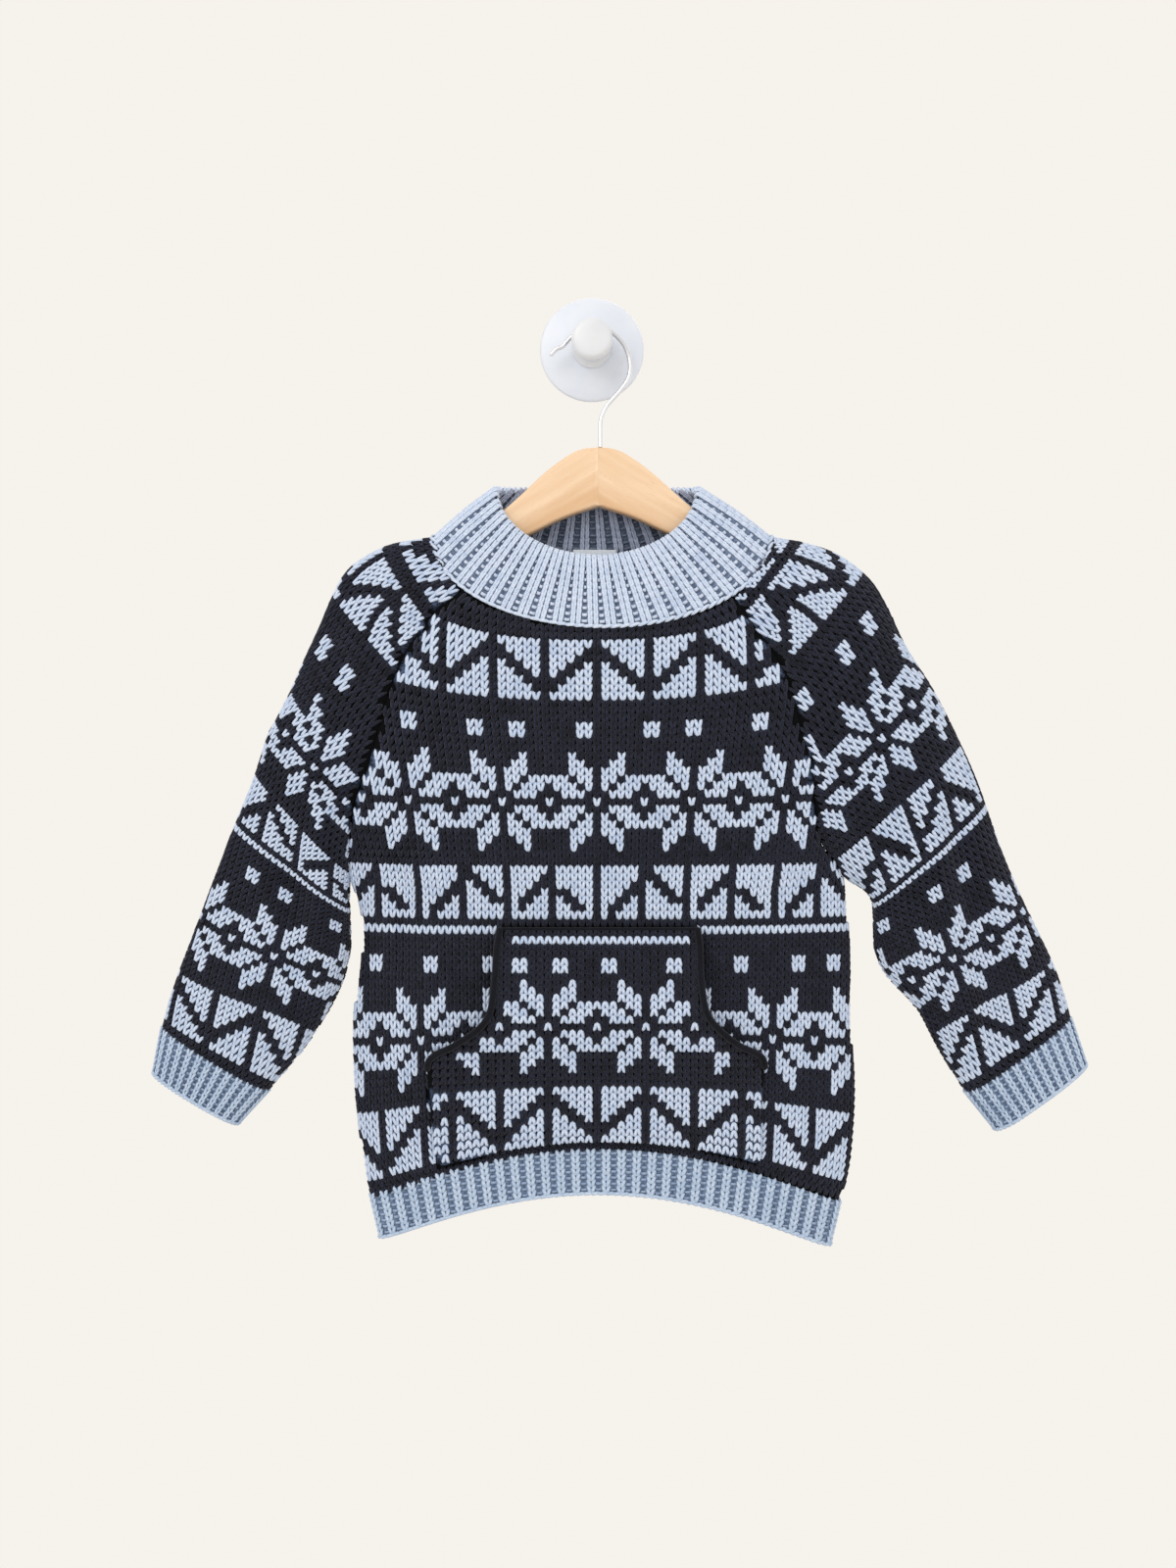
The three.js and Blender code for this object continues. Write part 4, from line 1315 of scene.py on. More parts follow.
class Wardrobe:
    """All the finishes, made once."""

    navy: Material
    blue: Material
    band: Material
    purl: Material
    inner: Material
    inner_purl: Material
    soft_band: Material
    soft_purl: Material
    edging: Material
    ground: Material
    valley: Material
    soft_valley: Material

    def __init__(self) -> None:
        """Makes each material."""
        for name, (piece, deep, full) in YARNS.items():
            setattr(self, name, YarnFinish(piece, srgb(*deep), srgb(*full)).material())
        for name, (piece, navy, blue) in GROUNDS.items():
            setattr(self, name, GroundFinish(piece, srgb(*navy), srgb(*blue)).material())
        tilt = math.radians(HANGER_SLOPE)
        self.birch = {
            Hand.LEFT: BirchFinish("birch_left", -tilt).material(),
            Hand.RIGHT: BirchFinish("birch_right", tilt).material(),
        }
        self.wire = WireFinish().material()
        self.plate = PlasticFinish("plate_plastic", srgb(222, 227, 236),
                                   srgb(215, 221, 232)).material()
        self.knob = PlasticFinish("knob_plastic", srgb(222, 224, 228),
                                  srgb(213, 216, 222)).material()
        self.tape = TapeFinish().material()


def finish_piece(piece: Piece,
                 material: Material | None = None) -> None:
    """Gives a piece its material, and rides it on the root body.

    Args:
        piece: The piece.
        material: Its finish, or None where it has one.
    """
    if material is not None:
        piece.data.materials.clear()
        piece.data.materials.append(material)
    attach(piece, ROOT)
    LOG.info("finished %s", piece.name)


@dataclass(frozen=True)
class CutSize:
    """The size that a piece of cloth was cut or knitted to, in metres."""

    width: float
    length: float
    area: float


@dataclass
class BodyPanel:
    """The front or back of the body: its shell, stitches and seams."""

    side: Side
    maker: StitchMaker
    wardrobe: Wardrobe
    cut: CutSize
    rows: int = 100
    columns: int = 88
    shell_thick: float = 1.8
    middle: float = 3.2
    neck_margin: float = 0.7
    line_steps: int = 240
    first_knit: dict = field(default_factory=lambda: {Side.FRONT: -6, Side.BACK: -12})
    pitch_rows: tuple = (0, 10, 23, 35, 73)
    pitches: tuple = (5.9, 5.8, 5.3, 5.0, 4.85)
    form: BodyForm = field(default_factory=BodyForm)
    pocket_reach: float = 12.0
    pocket_top_cover: float = 1.5

    @property
    def name(self) -> str:
        """The panel's name."""
        return f"{self.side.name.lower()}_panel"

    def shell(self) -> Cloth:
        """Builds the panel's shell.

        Returns:
            The shell.
        """
        places = spread_grid(np.linspace(0, LAST_ROW, self.rows), np.linspace(-1, 1, self.columns))
        grid = self.form.point(*places, self.side)
        outward = 1 if self.side is Side.FRONT else -1
        return cloth_shell(f"{self.name}_cloth", grid, outward, self.shell_thick, STITCH_DEPTH)

    def stitches(self, cloth: Cloth) -> dict[str, Array]:
        """Lays the panel's stitches on its shell.

        Args:
            cloth: The panel's shell.

        Returns:
            The stitches.
        """
        run = StitchRun()
        s = signed_power(np.sin(np.linspace(-1, 1, self.line_steps) * np.pi / 2), 2 / OVAL)
        for knit in range(self.first_knit[self.side], BODY_CHART.height):
            line = self.form.knit_line(knit + 0.5, s, self.side)
            over = self.form.knit_line(knit, s, self.side)
            under = self.form.knit_line(knit + 1, s, self.side)
            lengths = lengths_along(line)
            start = float(np.interp(self.middle, line[:, 0], lengths))
            pitch = float(np.interp(knit, self.pitch_rows, self.pitches))
            low = math.ceil((RIM_MARGIN - start) / pitch)
            high = math.floor((lengths[-1] - RIM_MARGIN - start) / pitch)
            columns = np.arange(low, high + 1)
            at = start + columns * pitch
            where = read_line(at, lengths, line)
            tall = np.interp(at, lengths, np.linalg.norm(over - under, axis=1))
            across = read_line(at + 1, lengths, line) - read_line(at - 1, lengths, line)
            keep = self._outside_neck(where)
            if self.side is Side.FRONT:
                keep &= ~self._under_pocket(where)
            if self.side is Side.BACK:
                columns = -columns
            if keep.any():
                blue = np.array([BODY_CHART.blue(knit, int(c)) for c in columns[keep]])
                lay_row(run, cloth, where[keep], across[keep], tall[keep], pitch, (0, 0, 1), blue)
        return run.joined()

    def _outside_neck(self, points: Array) -> Array:
        """Which points lie outside the neck seam.

        Args:
            points: Places of stitches.

        Returns:
            True for each one outside.
        """
        ring = RINGS[0]
        middle = (ring[NECK_LEFT] + ring[NECK_RIGHT]) / 2
        half = (ring[NECK_RIGHT] - ring[NECK_LEFT]) / 2
        share = np.clip((points[:, 0] - middle) / half, -1, 1)
        dip = ring[FRONT_DIP] if self.side is Side.FRONT else ring[BACK_DIP]
        seam = ring[SIDE_Z] - dip * np.sqrt(1 - share ** 2)
        return points[:, 2] < seam - self.neck_margin

    def _under_pocket(self, points: Array) -> Array:
        """Which points the pocket hides; at its openings the cloth shows a little way in.

        Args:
            points: Places of stitches.

        Returns:
            True for each hidden one.
        """
        x, z = points[:, 0], points[:, 2]
        levels, left, right = POCKET_ROWS[:, 0], POCKET_ROWS[:, 1], POCKET_ROWS[:, 2]
        open_from = levels[1] + POCKET_OPENING_TOP
        open_to = levels[POCKET_SEWN_ROW] + POCKET_OPENING_FOOT
        reach = np.where((z < open_from) & (z > open_to), self.pocket_reach, 0.0)
        low = np.interp(-z, -levels, left) + reach
        high = np.interp(-z, -levels, right) - reach
        level = (z < levels[0] + self.pocket_top_cover) & (z > pocket_foot(x))
        return level & (x > low) & (x < high)

    def build(self) -> Cloth:
        """Returns:
            The shell.
        """
        cloth = self.shell()
        run = self.stitches(cloth)
        paint_cloth(cloth, run)
        pieces = self.maker.pattern(self.name, run, self.wardrobe)
        declare_cloth(cloth, (self.name,), self.wardrobe.ground, self.cut, pieces,
                      ["hanger_arm_left_wood", "hanger_arm_right_wood"])
        return cloth


SHEETS: list = []          # the sheets of cloth, which main logs once all is made


def declare_cloth(cloth: Cloth, nodes: tuple[str, ...], material: Material,
                  cut: CutSize, stitches: list, rests_on: list[str]) -> None:
    """Args:
        cloth: The shell.
        nodes: The nodes that it replaces.
        material: Finish of the shell.
        cut: Its flat size.
        stitches: The pieces that lie on it.
        rests_on: Names of the pieces that carry it.
    """
    pieces = [piece for piece in stitches if piece is not None]
    for piece in pieces:
        finish_piece(piece)
    finish_piece(cloth.piece, material)
    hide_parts(*nodes)
    SHEETS.append((cloth.piece, cut, pieces, rests_on))


@dataclass
class Sleeve:
    """One sleeve: its shell and stitches."""

    hand: Hand
    maker: StitchMaker
    wardrobe: Wardrobe
    cut: CutSize
    rows: int = 104
    columns: int = 61
    shell_thick: float = 1.8
    pitch: float = 5.2
    first_knit: int = -4
    line_steps: int = 160
    shortest: float = 2.4
    tallest: float = 8.0
    upwards: dict = field(default_factory=lambda: {Hand.LEFT: (0.35, 0, 1),
                                                   Hand.RIGHT: (-0.35, 0, 1)})
    star_row: float = 23.5
    chart_rows: int = 31

    def __post_init__(self) -> None:
        """Makes the sleeve's form."""
        self.form = SleeveForm(self.hand)

    @property
    def name(self) -> str:
        """The sleeve's name."""
        return f"sleeve_{self.hand.value}"

    def shell(self) -> Cloth:
        """Builds the sleeve's shell.

        Returns:
            The shell.
        """
        last = len(self.form.sections) - 1
        steps = np.linspace(0, last, self.rows)
        closed_from = int(np.searchsorted(steps, UNDERARM))
        steps[closed_from] = UNDERARM
        grid = self.form.point(*spread_grid(steps, np.linspace(0, 1, self.columns)))
        grid[closed_from:, -1] = grid[closed_from:, 0]
        outward = -1 if self.hand is Hand.LEFT else 1
        return cloth_shell(f"{self.name}_cloth", grid, outward, self.shell_thick, STITCH_DEPTH,
                           closed_from=closed_from)

    def first_column(self, knit: float) -> float:
        """The chart column that lies on the sleeve's outer edge."""
        at_star, drift = (1.5, 2.5) if self.hand is Hand.LEFT else (0.0, 2.3)
        return at_star - (knit - self.star_row) * (drift / self.chart_rows)

    def stitches(self, cloth: Cloth) -> dict[str, Array]:
        """Lays the sleeve's stitches on its shell.

        Args:
            cloth: The sleeve's shell.

        Returns:
            The stitches.
        """
        run = StitchRun()
        t = np.linspace(0, 1, self.line_steps + 1)
        for knit in range(self.first_knit, BODY_CHART.height):
            line = self.form.knit_line(knit + 0.5, t)
            step = self.form.knit_line(knit, t) - self.form.knit_line(knit + 1, t)
            way = np.gradient(line, axis=0)
            way /= np.maximum(np.linalg.norm(way, axis=1, keepdims=True), TINY)
            tall_line = np.linalg.norm(np.cross(step, way), axis=1)
            lengths = lengths_along(line)
            fold = lengths[self.line_steps // 2]
            outer = self.first_column(knit)
            low = math.ceil(outer + (fold - lengths[-1] + RIM_MARGIN) / self.pitch)
            high = math.floor(outer + (fold - RIM_MARGIN) / self.pitch)
            columns = np.arange(low, high + 1)
            at = fold - (columns - outer) * self.pitch
            across = read_line(at + 1, lengths, line) - read_line(at - 1, lengths, line)
            tall = np.clip(np.interp(at, lengths, tall_line), self.shortest, self.tallest)
            blue = np.array([self._blue(knit, int(c)) for c in columns])
            lay_row(run, cloth, read_line(at, lengths, line), across, tall, self.pitch,
                    self.upwards[self.hand], blue)
        return run.joined()

    def _blue(self, knit: int, column: int) -> bool:
        """The chart, with a short row of blocks over it next to the collar.

        Args:
            knit: Knit row.
            column: Stitch column.

        Returns:
            True for blue yarn.
        """
        if self.first_knit <= knit < 0:
            row = TRIANGLE[knit + len(TRIANGLE)]
            return row[(column + TRIANGLE_MIDDLE) % len(row)] == "X"
        return BODY_CHART.blue(knit, column)

    def build(self) -> None:
        cloth = self.shell()
        run = self.stitches(cloth)
        paint_cloth(cloth, run)
        pieces = self.maker.pattern(self.name, run, self.wardrobe)
        declare_cloth(cloth, (self.name,), self.wardrobe.ground, self.cut, pieces,
                      [f"hanger_arm_{self.hand.value}_wood"])


COLLAR_RIBS, HEM_RIBS, CUFF_RIBS = 44, 66, 26
HEM_LENGTH, HEM_MIDDLE, HEM_SCALE = 30.0, 9.0, 0.955
CUFFS = {Hand.LEFT: ((-13.7, 0.0, -27.6), 0.79), Hand.RIGHT: ((15.8, 0.0, -29.2), 0.86)}
BAND_STEPS, COLLAR_STEPS = 10, 13
RING_SAMPLES, HEM_SAMPLES, CUFF_SAMPLES = 1441, 300, 240


@dataclass
class RibbedBand:
    """A band of raised ribs: the collar, the hem or a cuff."""

    name: str
    grid: Array
    ribs: int
    outward: int
    maker: StitchMaker
    wardrobe: Wardrobe
    cut: CutSize
    column_width: float = 3.3
    row_height: float = 4.2
    lift: float = 1.5
    shell_thick: float = 1.8
    inside: bool = False
    chain_row: float = BAND_STEPS - 1.3
    chain_size: tuple = (0.62, 3.8)
    chain_room: float = 1.5
    single: bool = True
    single_width: float = 0.6

    PER_RIB = 8
    GROUND = STITCH_DEPTH + 0.4
    ROLL_RADIUS = 1.3
    ROLL_ANGLES = (40.0, 90.0, 140.0)
    ROLL_STITCH = 2.6
    WIDEST = 0.49           # widest column, as a share of a rib
    ROUNDNESS = 0.55

    def _crown(self, phase: Array | float) -> Array | float:
        """Height of a rib's cross section, 0 in the valley and 1 on top."""
        return (0.5 - 0.5 * np.cos(2 * np.pi * phase)) ** self.ROUNDNESS

    def shell(self) -> Cloth:
        """Builds the band with its ribs raised; a valley lies at each rib's start.

        Returns:
            The shell.
        """
        steps, columns = self.grid.shape[:2]
        crown = self._crown((np.arange(columns) % self.PER_RIB) / self.PER_RIB)
        sink = (self.GROUND - self.lift * crown)[None, :] * np.ones((steps, 1))
        extra = (self.lift * crown)[None, :] * np.ones((steps, 1))
        cloth = cloth_shell(f"{self.name}_cloth", self.grid, self.outward, self.shell_thick, sink,
                            wrap=True, inner_extra=extra)
        # The attribute yarn holds each point's crown height, which the ground finish turns into
        # painted shade in the valleys. The attribute inside is 1 on the inner face, which it paints
        # in deep shade.
        for name, values in (("yarn", np.tile(crown, 2 * steps)),
                             ("inside", np.repeat([0.0, 1.0], steps * columns))):
            layer = cloth.piece.data.attributes.new(name, "FLOAT", "POINT")
            layer.data.foreach_set("value", values.astype(np.float32))
        return cloth

    def _rows(self) -> Array:
        """Places down the grid of the middles of the knit rows.

        Returns:
            The places.
        """
        length = lengths_along(self.grid[:, 0])[-1]
        free = length - self.chain_room
        count = max(2, round(free / self.row_height))
        return (np.arange(count) + 0.5) / count * (self.grid.shape[0] - 1) * free / length

    def _read(self, values: Array, place_down: float, at: Array) -> Array:
        """Reads a grid of values at places across it.

        Args:
            values: One value or vector for each point of the band's grid.
            place_down: Place down the grid.
            at: Places across the grid.

        Returns:
            The values there.
        """
        i = min(int(place_down), self.grid.shape[0] - 2)
        c = np.floor(at).astype(int) % self.grid.shape[1]
        d = (c + 1) % self.grid.shape[1]
        f = (at - np.floor(at))[:, None]
        here = mix(values[i, c], values[i, d], f)
        below = mix(values[i + 1, c], values[i + 1, d], f)
        return mix(here, below, place_down - i)

    def stitches(self, sides: tuple, rows: Array, width: float | None = None,
                 tall: float | None = None, sense: int = 1, rolled: bool = False,
                 raised: float = 0.0) -> dict[str, Array]:
        """Lays columns of stitches along the ribs.

        Args:
            sides: Place of each column: -1 and 1 beside a rib's crest, 0 in the valley; any
                other number is a share of a rib, measured from its valley.
            rows: Places down the grid.
            width: Width of a stitch as a share of a rib, or None for the column's own.
            tall: Height of a stitch, or None for the rows' own.
            sense: 1 for the outside and -1 for the inside.
            rolled: Whether the columns go on over the band's first edge.
            raised: How far the stitches lie over their usual height.

        Returns:
            The stitches.
        """
        run = StitchRun()
        normals = grid_normals(self.grid, self.outward, wrap=True)
        down = np.gradient(self.grid, axis=0)
        spans = np.linalg.norm(np.roll(self.grid, -self.PER_RIB, axis=1) - self.grid, axis=-1,
                               keepdims=True)
        own = lengths_along(self.grid[:, 0])[-1] / len(rows) if tall is None else tall
        middles = np.arange(self.ribs) * float(self.PER_RIB)
        turns = [(float(row), None) for row in rows]
        if rolled:
            turns += [(0.0, math.radians(angle)) for angle in self.ROLL_ANGLES]
        for place_down, turn in turns:
            for side in sides:
                span = self._read(spans, place_down, middles)[:, 0]
                column = np.minimum(self.column_width, self.WIDEST * span)
                if side in (-1, 1):
                    phase = 0.5 + side * 0.5 * column / span
                    across = column
                else:
                    phase = np.full(self.ribs, float(side))
                    across = span * (1 - 2 * column[0] / span[0] if width is None else width)
                at = middles + phase * self.PER_RIB
                facing = self._read(normals, place_down, at)
                upward = -self._read(down, place_down, at)
                height = self.lift * self._crown(phase % 1)[:, None] - self.GROUND + raised
                if sense < 0:
                    height = -np.ones((self.ribs, 1)) * (self.GROUND + self.shell_thick)
                base = self._read(self.grid, place_down, at) + facing * height
                if turn is not None:
                    upward = upward / np.linalg.norm(upward, axis=1, keepdims=True)
                    inward = base - facing * self.ROLL_RADIUS
                    aim = facing * math.cos(turn) + upward * math.sin(turn)
                    base = inward + aim * self.ROLL_RADIUS
                    facing, upward = aim, upward * math.cos(turn) - facing * math.sin(turn)
                high = np.full(self.ribs, own if turn is None else self.ROLL_STITCH)
                size = np.stack([across, high, np.ones(self.ribs)], axis=1)
                run.add(base, facing * sense, upward, size, np.ones(self.ribs))
        return run.joined()

    def _make(self, part: str, run: dict[str, Array], thick: float, shape: StitchShape,
              material: Material) -> Piece:
        """Makes all of a run's stitches."""
        keep = np.ones(len(run["place"]), bool)
        return self.maker.make(f"{self.name}_{part}", run, keep, material, thick, shape)

    def build(self, nodes: tuple[str, ...], rests_on: list[str]) -> None:
        """Args:
            nodes: The nodes that it replaces.
            rests_on: Names of the pieces that carry it.
        """
        cloth = self.shell()
        rows = self._rows()
        finishes = self.wardrobe
        if self.single:
            knit = self.stitches((0.5,), rows, self.single_width)
            purl = self.stitches((0.0,), rows, 0.5, tall=self.row_height, raised=0.5)
            # The purl bumps in the valleys wear soft_purl, darker than soft_band: painted shade.
            sorts = ((knit, 2.4, KNIT_STITCH, finishes.soft_band),
                     (purl, 1.6, PURL_BUMP, finishes.soft_purl))
        else:
            knit = self.stitches((-1, 1), rows, rolled=self.inside)
            purl = self.stitches((0.0,), rows, tall=self.row_height * 1.2, raised=0.7)
            sorts = ((knit, 2.3, RIB_STITCH, finishes.band), (purl, 2.2, PURL_BUMP, finishes.purl))
        pieces = [self._make(part, *sort)
                  for part, sort in zip(("knit_columns", "purl_valleys"), sorts)]
        chain = self.stitches((0.27, 0.77), np.array([self.chain_row]), *self.chain_size,
                              raised=0.6)
        yarn = finishes.soft_band if self.single else finishes.band
        pieces.append(self._make("edge_chain", chain, 2.6, CHAIN_LINK, yarn))
        if self.inside:
            ribs = self.stitches((-0.15, 0.15), rows, 0.3, sense=-1)
            valleys = self.stitches((0.5,), rows, 0.4, self.row_height * 0.8, sense=-1)
            # The inside of the collar wears the darker inner yarns: painted shade.
            pieces.append(self._make("inner_columns", ribs, 2.4, RIB_STITCH, finishes.inner))
            pieces.append(self._make("inner_valleys", valleys, 1.6, PURL_BUMP, finishes.inner_purl))
        ground = finishes.soft_valley if self.single else finishes.valley
        declare_cloth(cloth, nodes, ground, self.cut, pieces, rests_on)


def even_loop(points: Array, count: int) -> Array:
    """Spreads a count of points evenly along a closed loop.

    Args:
        points: The loop, without its first point again.
        count: How many.

    Returns:
        The even points.
    """
    closed = np.vstack([points, points[:1]])
    lengths = lengths_along(closed)
    return read_line(np.linspace(0, lengths[-1], count, endpoint=False), lengths, closed)


def collar_grid() -> Array:
    """Points of the collar, from its top edge down to the neck seam.

    Returns:
        The grid, in millimetres.
    """
    count = COLLAR_RIBS * RibbedBand.PER_RIB
    angles = np.linspace(-180, 180, RING_SAMPLES)
    lengths = lengths_along(ring_point(RINGS[0], angles))
    at = np.linspace(0, lengths[-1], count, endpoint=False)
    even = np.interp(at, lengths, angles)
    up = np.linspace(len(RINGS) - 1, 0, COLLAR_STEPS)
    rings = along_rows(RINGS, up)
    return ring_point(rings[:, None, :] * np.ones((1, count, 1)), even[None, :])


def hem_grid() -> Array:
    """Points of the hem band, from the hem seam down.

    Returns:
        The grid, in millimetres.
    """
    form = BodyForm()
    u = np.linspace(-1, 1, HEM_SAMPLES)
    row = np.full_like(u, float(LAST_ROW))
    front = form.point(row, u, Side.FRONT)[:-1]
    back = form.point(row, u, Side.BACK)[::-1][:-1]
    loop = even_loop(np.vstack([front, back]), HEM_RIBS * RibbedBand.PER_RIB)
    rings = []
    for t in np.linspace(0, 1, BAND_STEPS):
        ring = loop.copy()
        ring[:, 0] = HEM_MIDDLE + (ring[:, 0] - HEM_MIDDLE) * mix(1, HEM_SCALE, t)
        ring[:, 2] -= HEM_LENGTH * t + SEAM_GAP
        rings.append(ring)
    return np.array(rings)


def cuff_grid(hand: Hand) -> Array:
    """Points of a cuff, from its seam down.

    Args:
        hand: Left or right.

    Returns:
        The grid, in millimetres.
    """
    form = SleeveForm(hand)
    t = np.linspace(0, 1, CUFF_SAMPLES)[:-1]
    loop = even_loop(form.point(np.full_like(t, len(form.sections) - 1.0), t),
                     CUFF_RIBS * RibbedBand.PER_RIB)
    move, scale = CUFFS[hand]
    middle = loop.mean(axis=0)
    return np.array([(loop - middle) * mix(1, scale, t) + middle + np.array(move) * (t + 0.01)
                     for t in np.linspace(0, 1, BAND_STEPS)])


# The pocket. Columns: height, left and right end, how far the middle and the ends stand
# off the front.
POCKET_ROWS = np.array([
    [-400.0, -61.5, 70.5, 0, 0],
    [-414.0, -63.5, 71.8, 4.8, 4.4],
    [-431.0, -64.5, 72.2, 7.4, 6.4],
    [-454.0, -67.5, 75.5, 8.4, 7.2],
    [-468.0, -76.0, 84.5, 8.4, 6.6],
    [-480.0, -92.0, 97.5, 7.8, 4.6],
    [-491.0, -109.0, 114.5, 6.4, 0],
    [-514.0, -109.0, 114.0, 4.6, 0],
    [-540.0, -105.5, 112.5, 2.6, 0],
    [-566.0, -101.0, 110.5, 0, 0],
])


POCKET_SEWN_ROW = 6        # from this row down its ends are sewn to the front
POCKET_FOOT = 3.5          # height of its foot over the hem seam
POCKET_OPENING_TOP, POCKET_OPENING_FOOT = 6, 4


def cloth_rise(x: Array, z: Array) -> Array:
    """How far the front's own rows rise at a place.

    Args:
        x, z: Places across, and heights.

    Returns:
        The rise, in millimetres.
    """
    first, last = BODY_ROWS[UNDERARM + 3], BODY_ROWS[LAST_ROW]
    s = (2 * x - last[LEFT_X] - last[RIGHT_X]) / (last[RIGHT_X] - last[LEFT_X])
    down = np.clip((z - first[LEFT_Z]) / (last[LEFT_Z] - first[LEFT_Z]), 0, 1)
    return last[RISE] * down * np.maximum(0, 1 - s * s) ** ARCH_POWER


def pocket_foot(x: Array) -> Array:
    """Height of the pocket's foot."""
    return BODY_ROWS[LAST_ROW, LEFT_Z] + cloth_rise(x, np.full_like(x, -585.0)) + POCKET_FOOT


@dataclass
class Pocket:
    """The kangaroo pocket: its shell, its stitches upside down, and its dark edging."""

    maker: StitchMaker
    wardrobe: Wardrobe
    front: Cloth
    cut: CutSize
    rows: int = 64
    columns: int = 72
    shell_thick: float = 1.6
    rise: float = 0.62
    pitch: float = 5.4
    middle: float = 3.2
    stand_off: float = 3.55
    side_room: float = 1.0
    edging: float = 8.0
    cord_radius: float = 2.3
    top_cord_radius: float = 1.1
    cord_sides: int = 10
    cord_lead: float = 0.6
    cord_overlap: float = 0.3
    blend_rows: int = 3
    least_step: float = 4.0
    far_ahead: float = -200.0
    usual_depth: float = -45.0

    def _front_depth(self, x: float, z: float) -> float:
        """The front shell's y at a place."""
        hit = self.front.tree.ray_cast(Vector((x, self.far_ahead, z)), Vector((0, 1, 0)))
        return hit[0][1] if hit[0] is not None else self.usual_depth

    def point(self, q: Array, t: Array) -> Array:
        """Points of the pocket; q runs down its table and t from 0 to 1 across.

        Args:
            q: Places down the table.
            t: Places across.

        Returns:
            The points, in millimetres.
        """
        row = along_rows(POCKET_ROWS, q)
        x = mix(row[..., 1], row[..., 2], t)
        foot = pocket_foot(x)
        last = len(POCKET_ROWS) - 1
        free = row[..., 0] + self.rise * cloth_rise(x, row[..., 0])
        share = np.clip(q - (last - self.blend_rows), 0, self.blend_rows) / self.blend_rows
        z = np.maximum(mix(free, foot, share ** 2), foot + self.least_step * (last - q))
        s = 2 * t - 1
        lift = mix(row[..., 3], row[..., 4], s * s)
        y = np.array([self._front_depth(a, b) for a, b in zip(x.ravel(), z.ravel())])
        y = y.reshape(x.shape) - STITCH_DEPTH - self.stand_off - lift
        return np.stack([x, y, z], axis=-1)

    def shell(self) -> Cloth:
        """Builds the pocket's shell.

        Returns:
            The shell.
        """
        last = len(POCKET_ROWS) - 1
        self.grid = self.point(*spread_grid(np.linspace(0, last, self.rows),
                                            np.linspace(0, 1, self.columns)))
        return cloth_shell("pocket_cloth", self.grid, 1, self.shell_thick, STITCH_DEPTH)

    def stitches(self, cloth: Cloth) -> dict[str, Array]:
        """Lays the pocket's stitches, whose points look up.

        Args:
            cloth: The pocket's shell.

        Returns:
            The stitches.
        """
        run = StitchRun()
        total = POCKET_CHART.height
        centre = self.grid[:, self.columns // 2]
        top, bottom = centre[0, 2], centre[-1, 2]
        for knit in range(total):
            level = mix(top, bottom, (knit + 0.5) / total)
            row = int(np.argmin(np.abs(centre[:, 2] - level)))
            line = self.grid[row]
            lengths = lengths_along(line)
            start = float(np.interp(self.middle, line[:, 0], lengths))
            low = math.ceil((self.side_room - start) / self.pitch)
            high = math.floor((lengths[-1] - self.side_room - start) / self.pitch)
            columns = np.arange(low, high + 1)
            at = start + columns * self.pitch
            where = read_line(at, lengths, line)
            where[:, 2] += level - centre[row, 2]
            blue = np.array([POCKET_CHART.blue(knit, int(c)) for c in columns])
            blue &= self._from_opening(where) > self.edging
            across = np.tile([1.0, 0.0, 0.0], (len(at), 1))
            tall = np.full(len(at), (top - bottom) / total)
            lay_row(run, cloth, where, across, tall, self.pitch, (0, 0, -1), blue)
        return run.joined()

    def _from_opening(self, points: Array) -> Array:
        """Distance of points from the nearer of the two openings' edges.

        Args:
            points: Places of stitches.

        Returns:
            The distances.
        """
        last = round(self.rows * POCKET_SEWN_ROW / (len(POCKET_ROWS) - 1))
        edges = np.vstack([self.grid[:last, 0], self.grid[:last, -1]])
        return np.linalg.norm(points[:, None, :] - edges[None, :, :], axis=2).min(axis=1)

    def edge_cords(self) -> list[Piece]:
        """Builds the rolled dark edge along each opening and the top.

        Returns:
            The three edges.
        """
        last = round(self.rows * (POCKET_SEWN_ROW + self.cord_overlap) / (len(POCKET_ROWS) - 1))
        routes = {
            "left": self.grid[:last, 0], "right": self.grid[:last, -1], "top": self.grid[0],
        }
        return [tube(f"pocket_edge_{name}", route - np.array([0, self.cord_lead, 0]),
                     self.top_cord_radius if name == "top" else self.cord_radius, self.cord_sides)
                for name, route in routes.items()]

    def build(self) -> None:
        cloth = self.shell()
        run = self.stitches(cloth)
        paint_cloth(cloth, run)
        pieces = self.maker.pattern("pocket", run, self.wardrobe)
        for cord in self.edge_cords():
            # The cords wear the edging yarn, darker than the navy: painted shadow along the
            # openings.
            cord.data.materials.append(self.wardrobe.edging)
            pieces.append(cord)
        declare_cloth(cloth, ("pocket",), self.wardrobe.ground, self.cut, pieces,
                      ["front_panel_cloth"])


def skin(name: str, rings: list[Array], start: Array, end: Array) -> Piece:
    """Builds a closed piece from rings of points and a point beyond each end.

    Args:
        name: Name of the piece.
        rings: The rings, all of the same number of points.
        start, end: The two points.

    Returns:
        The piece.
    """
    count, sides = len(rings), len(rings[0])
    tip, last = count * sides, (count - 1) * sides
    faces = ring_faces(count, sides)
    for j in range(sides):
        k = (j + 1) % sides
        faces += [[tip, k, j], [tip + 1, last + j, last + k]]
    return new_object(name, np.vstack([*rings, [start], [end]]), faces)


TUBE_END = 0.7             # length of a tube's round end, in radii


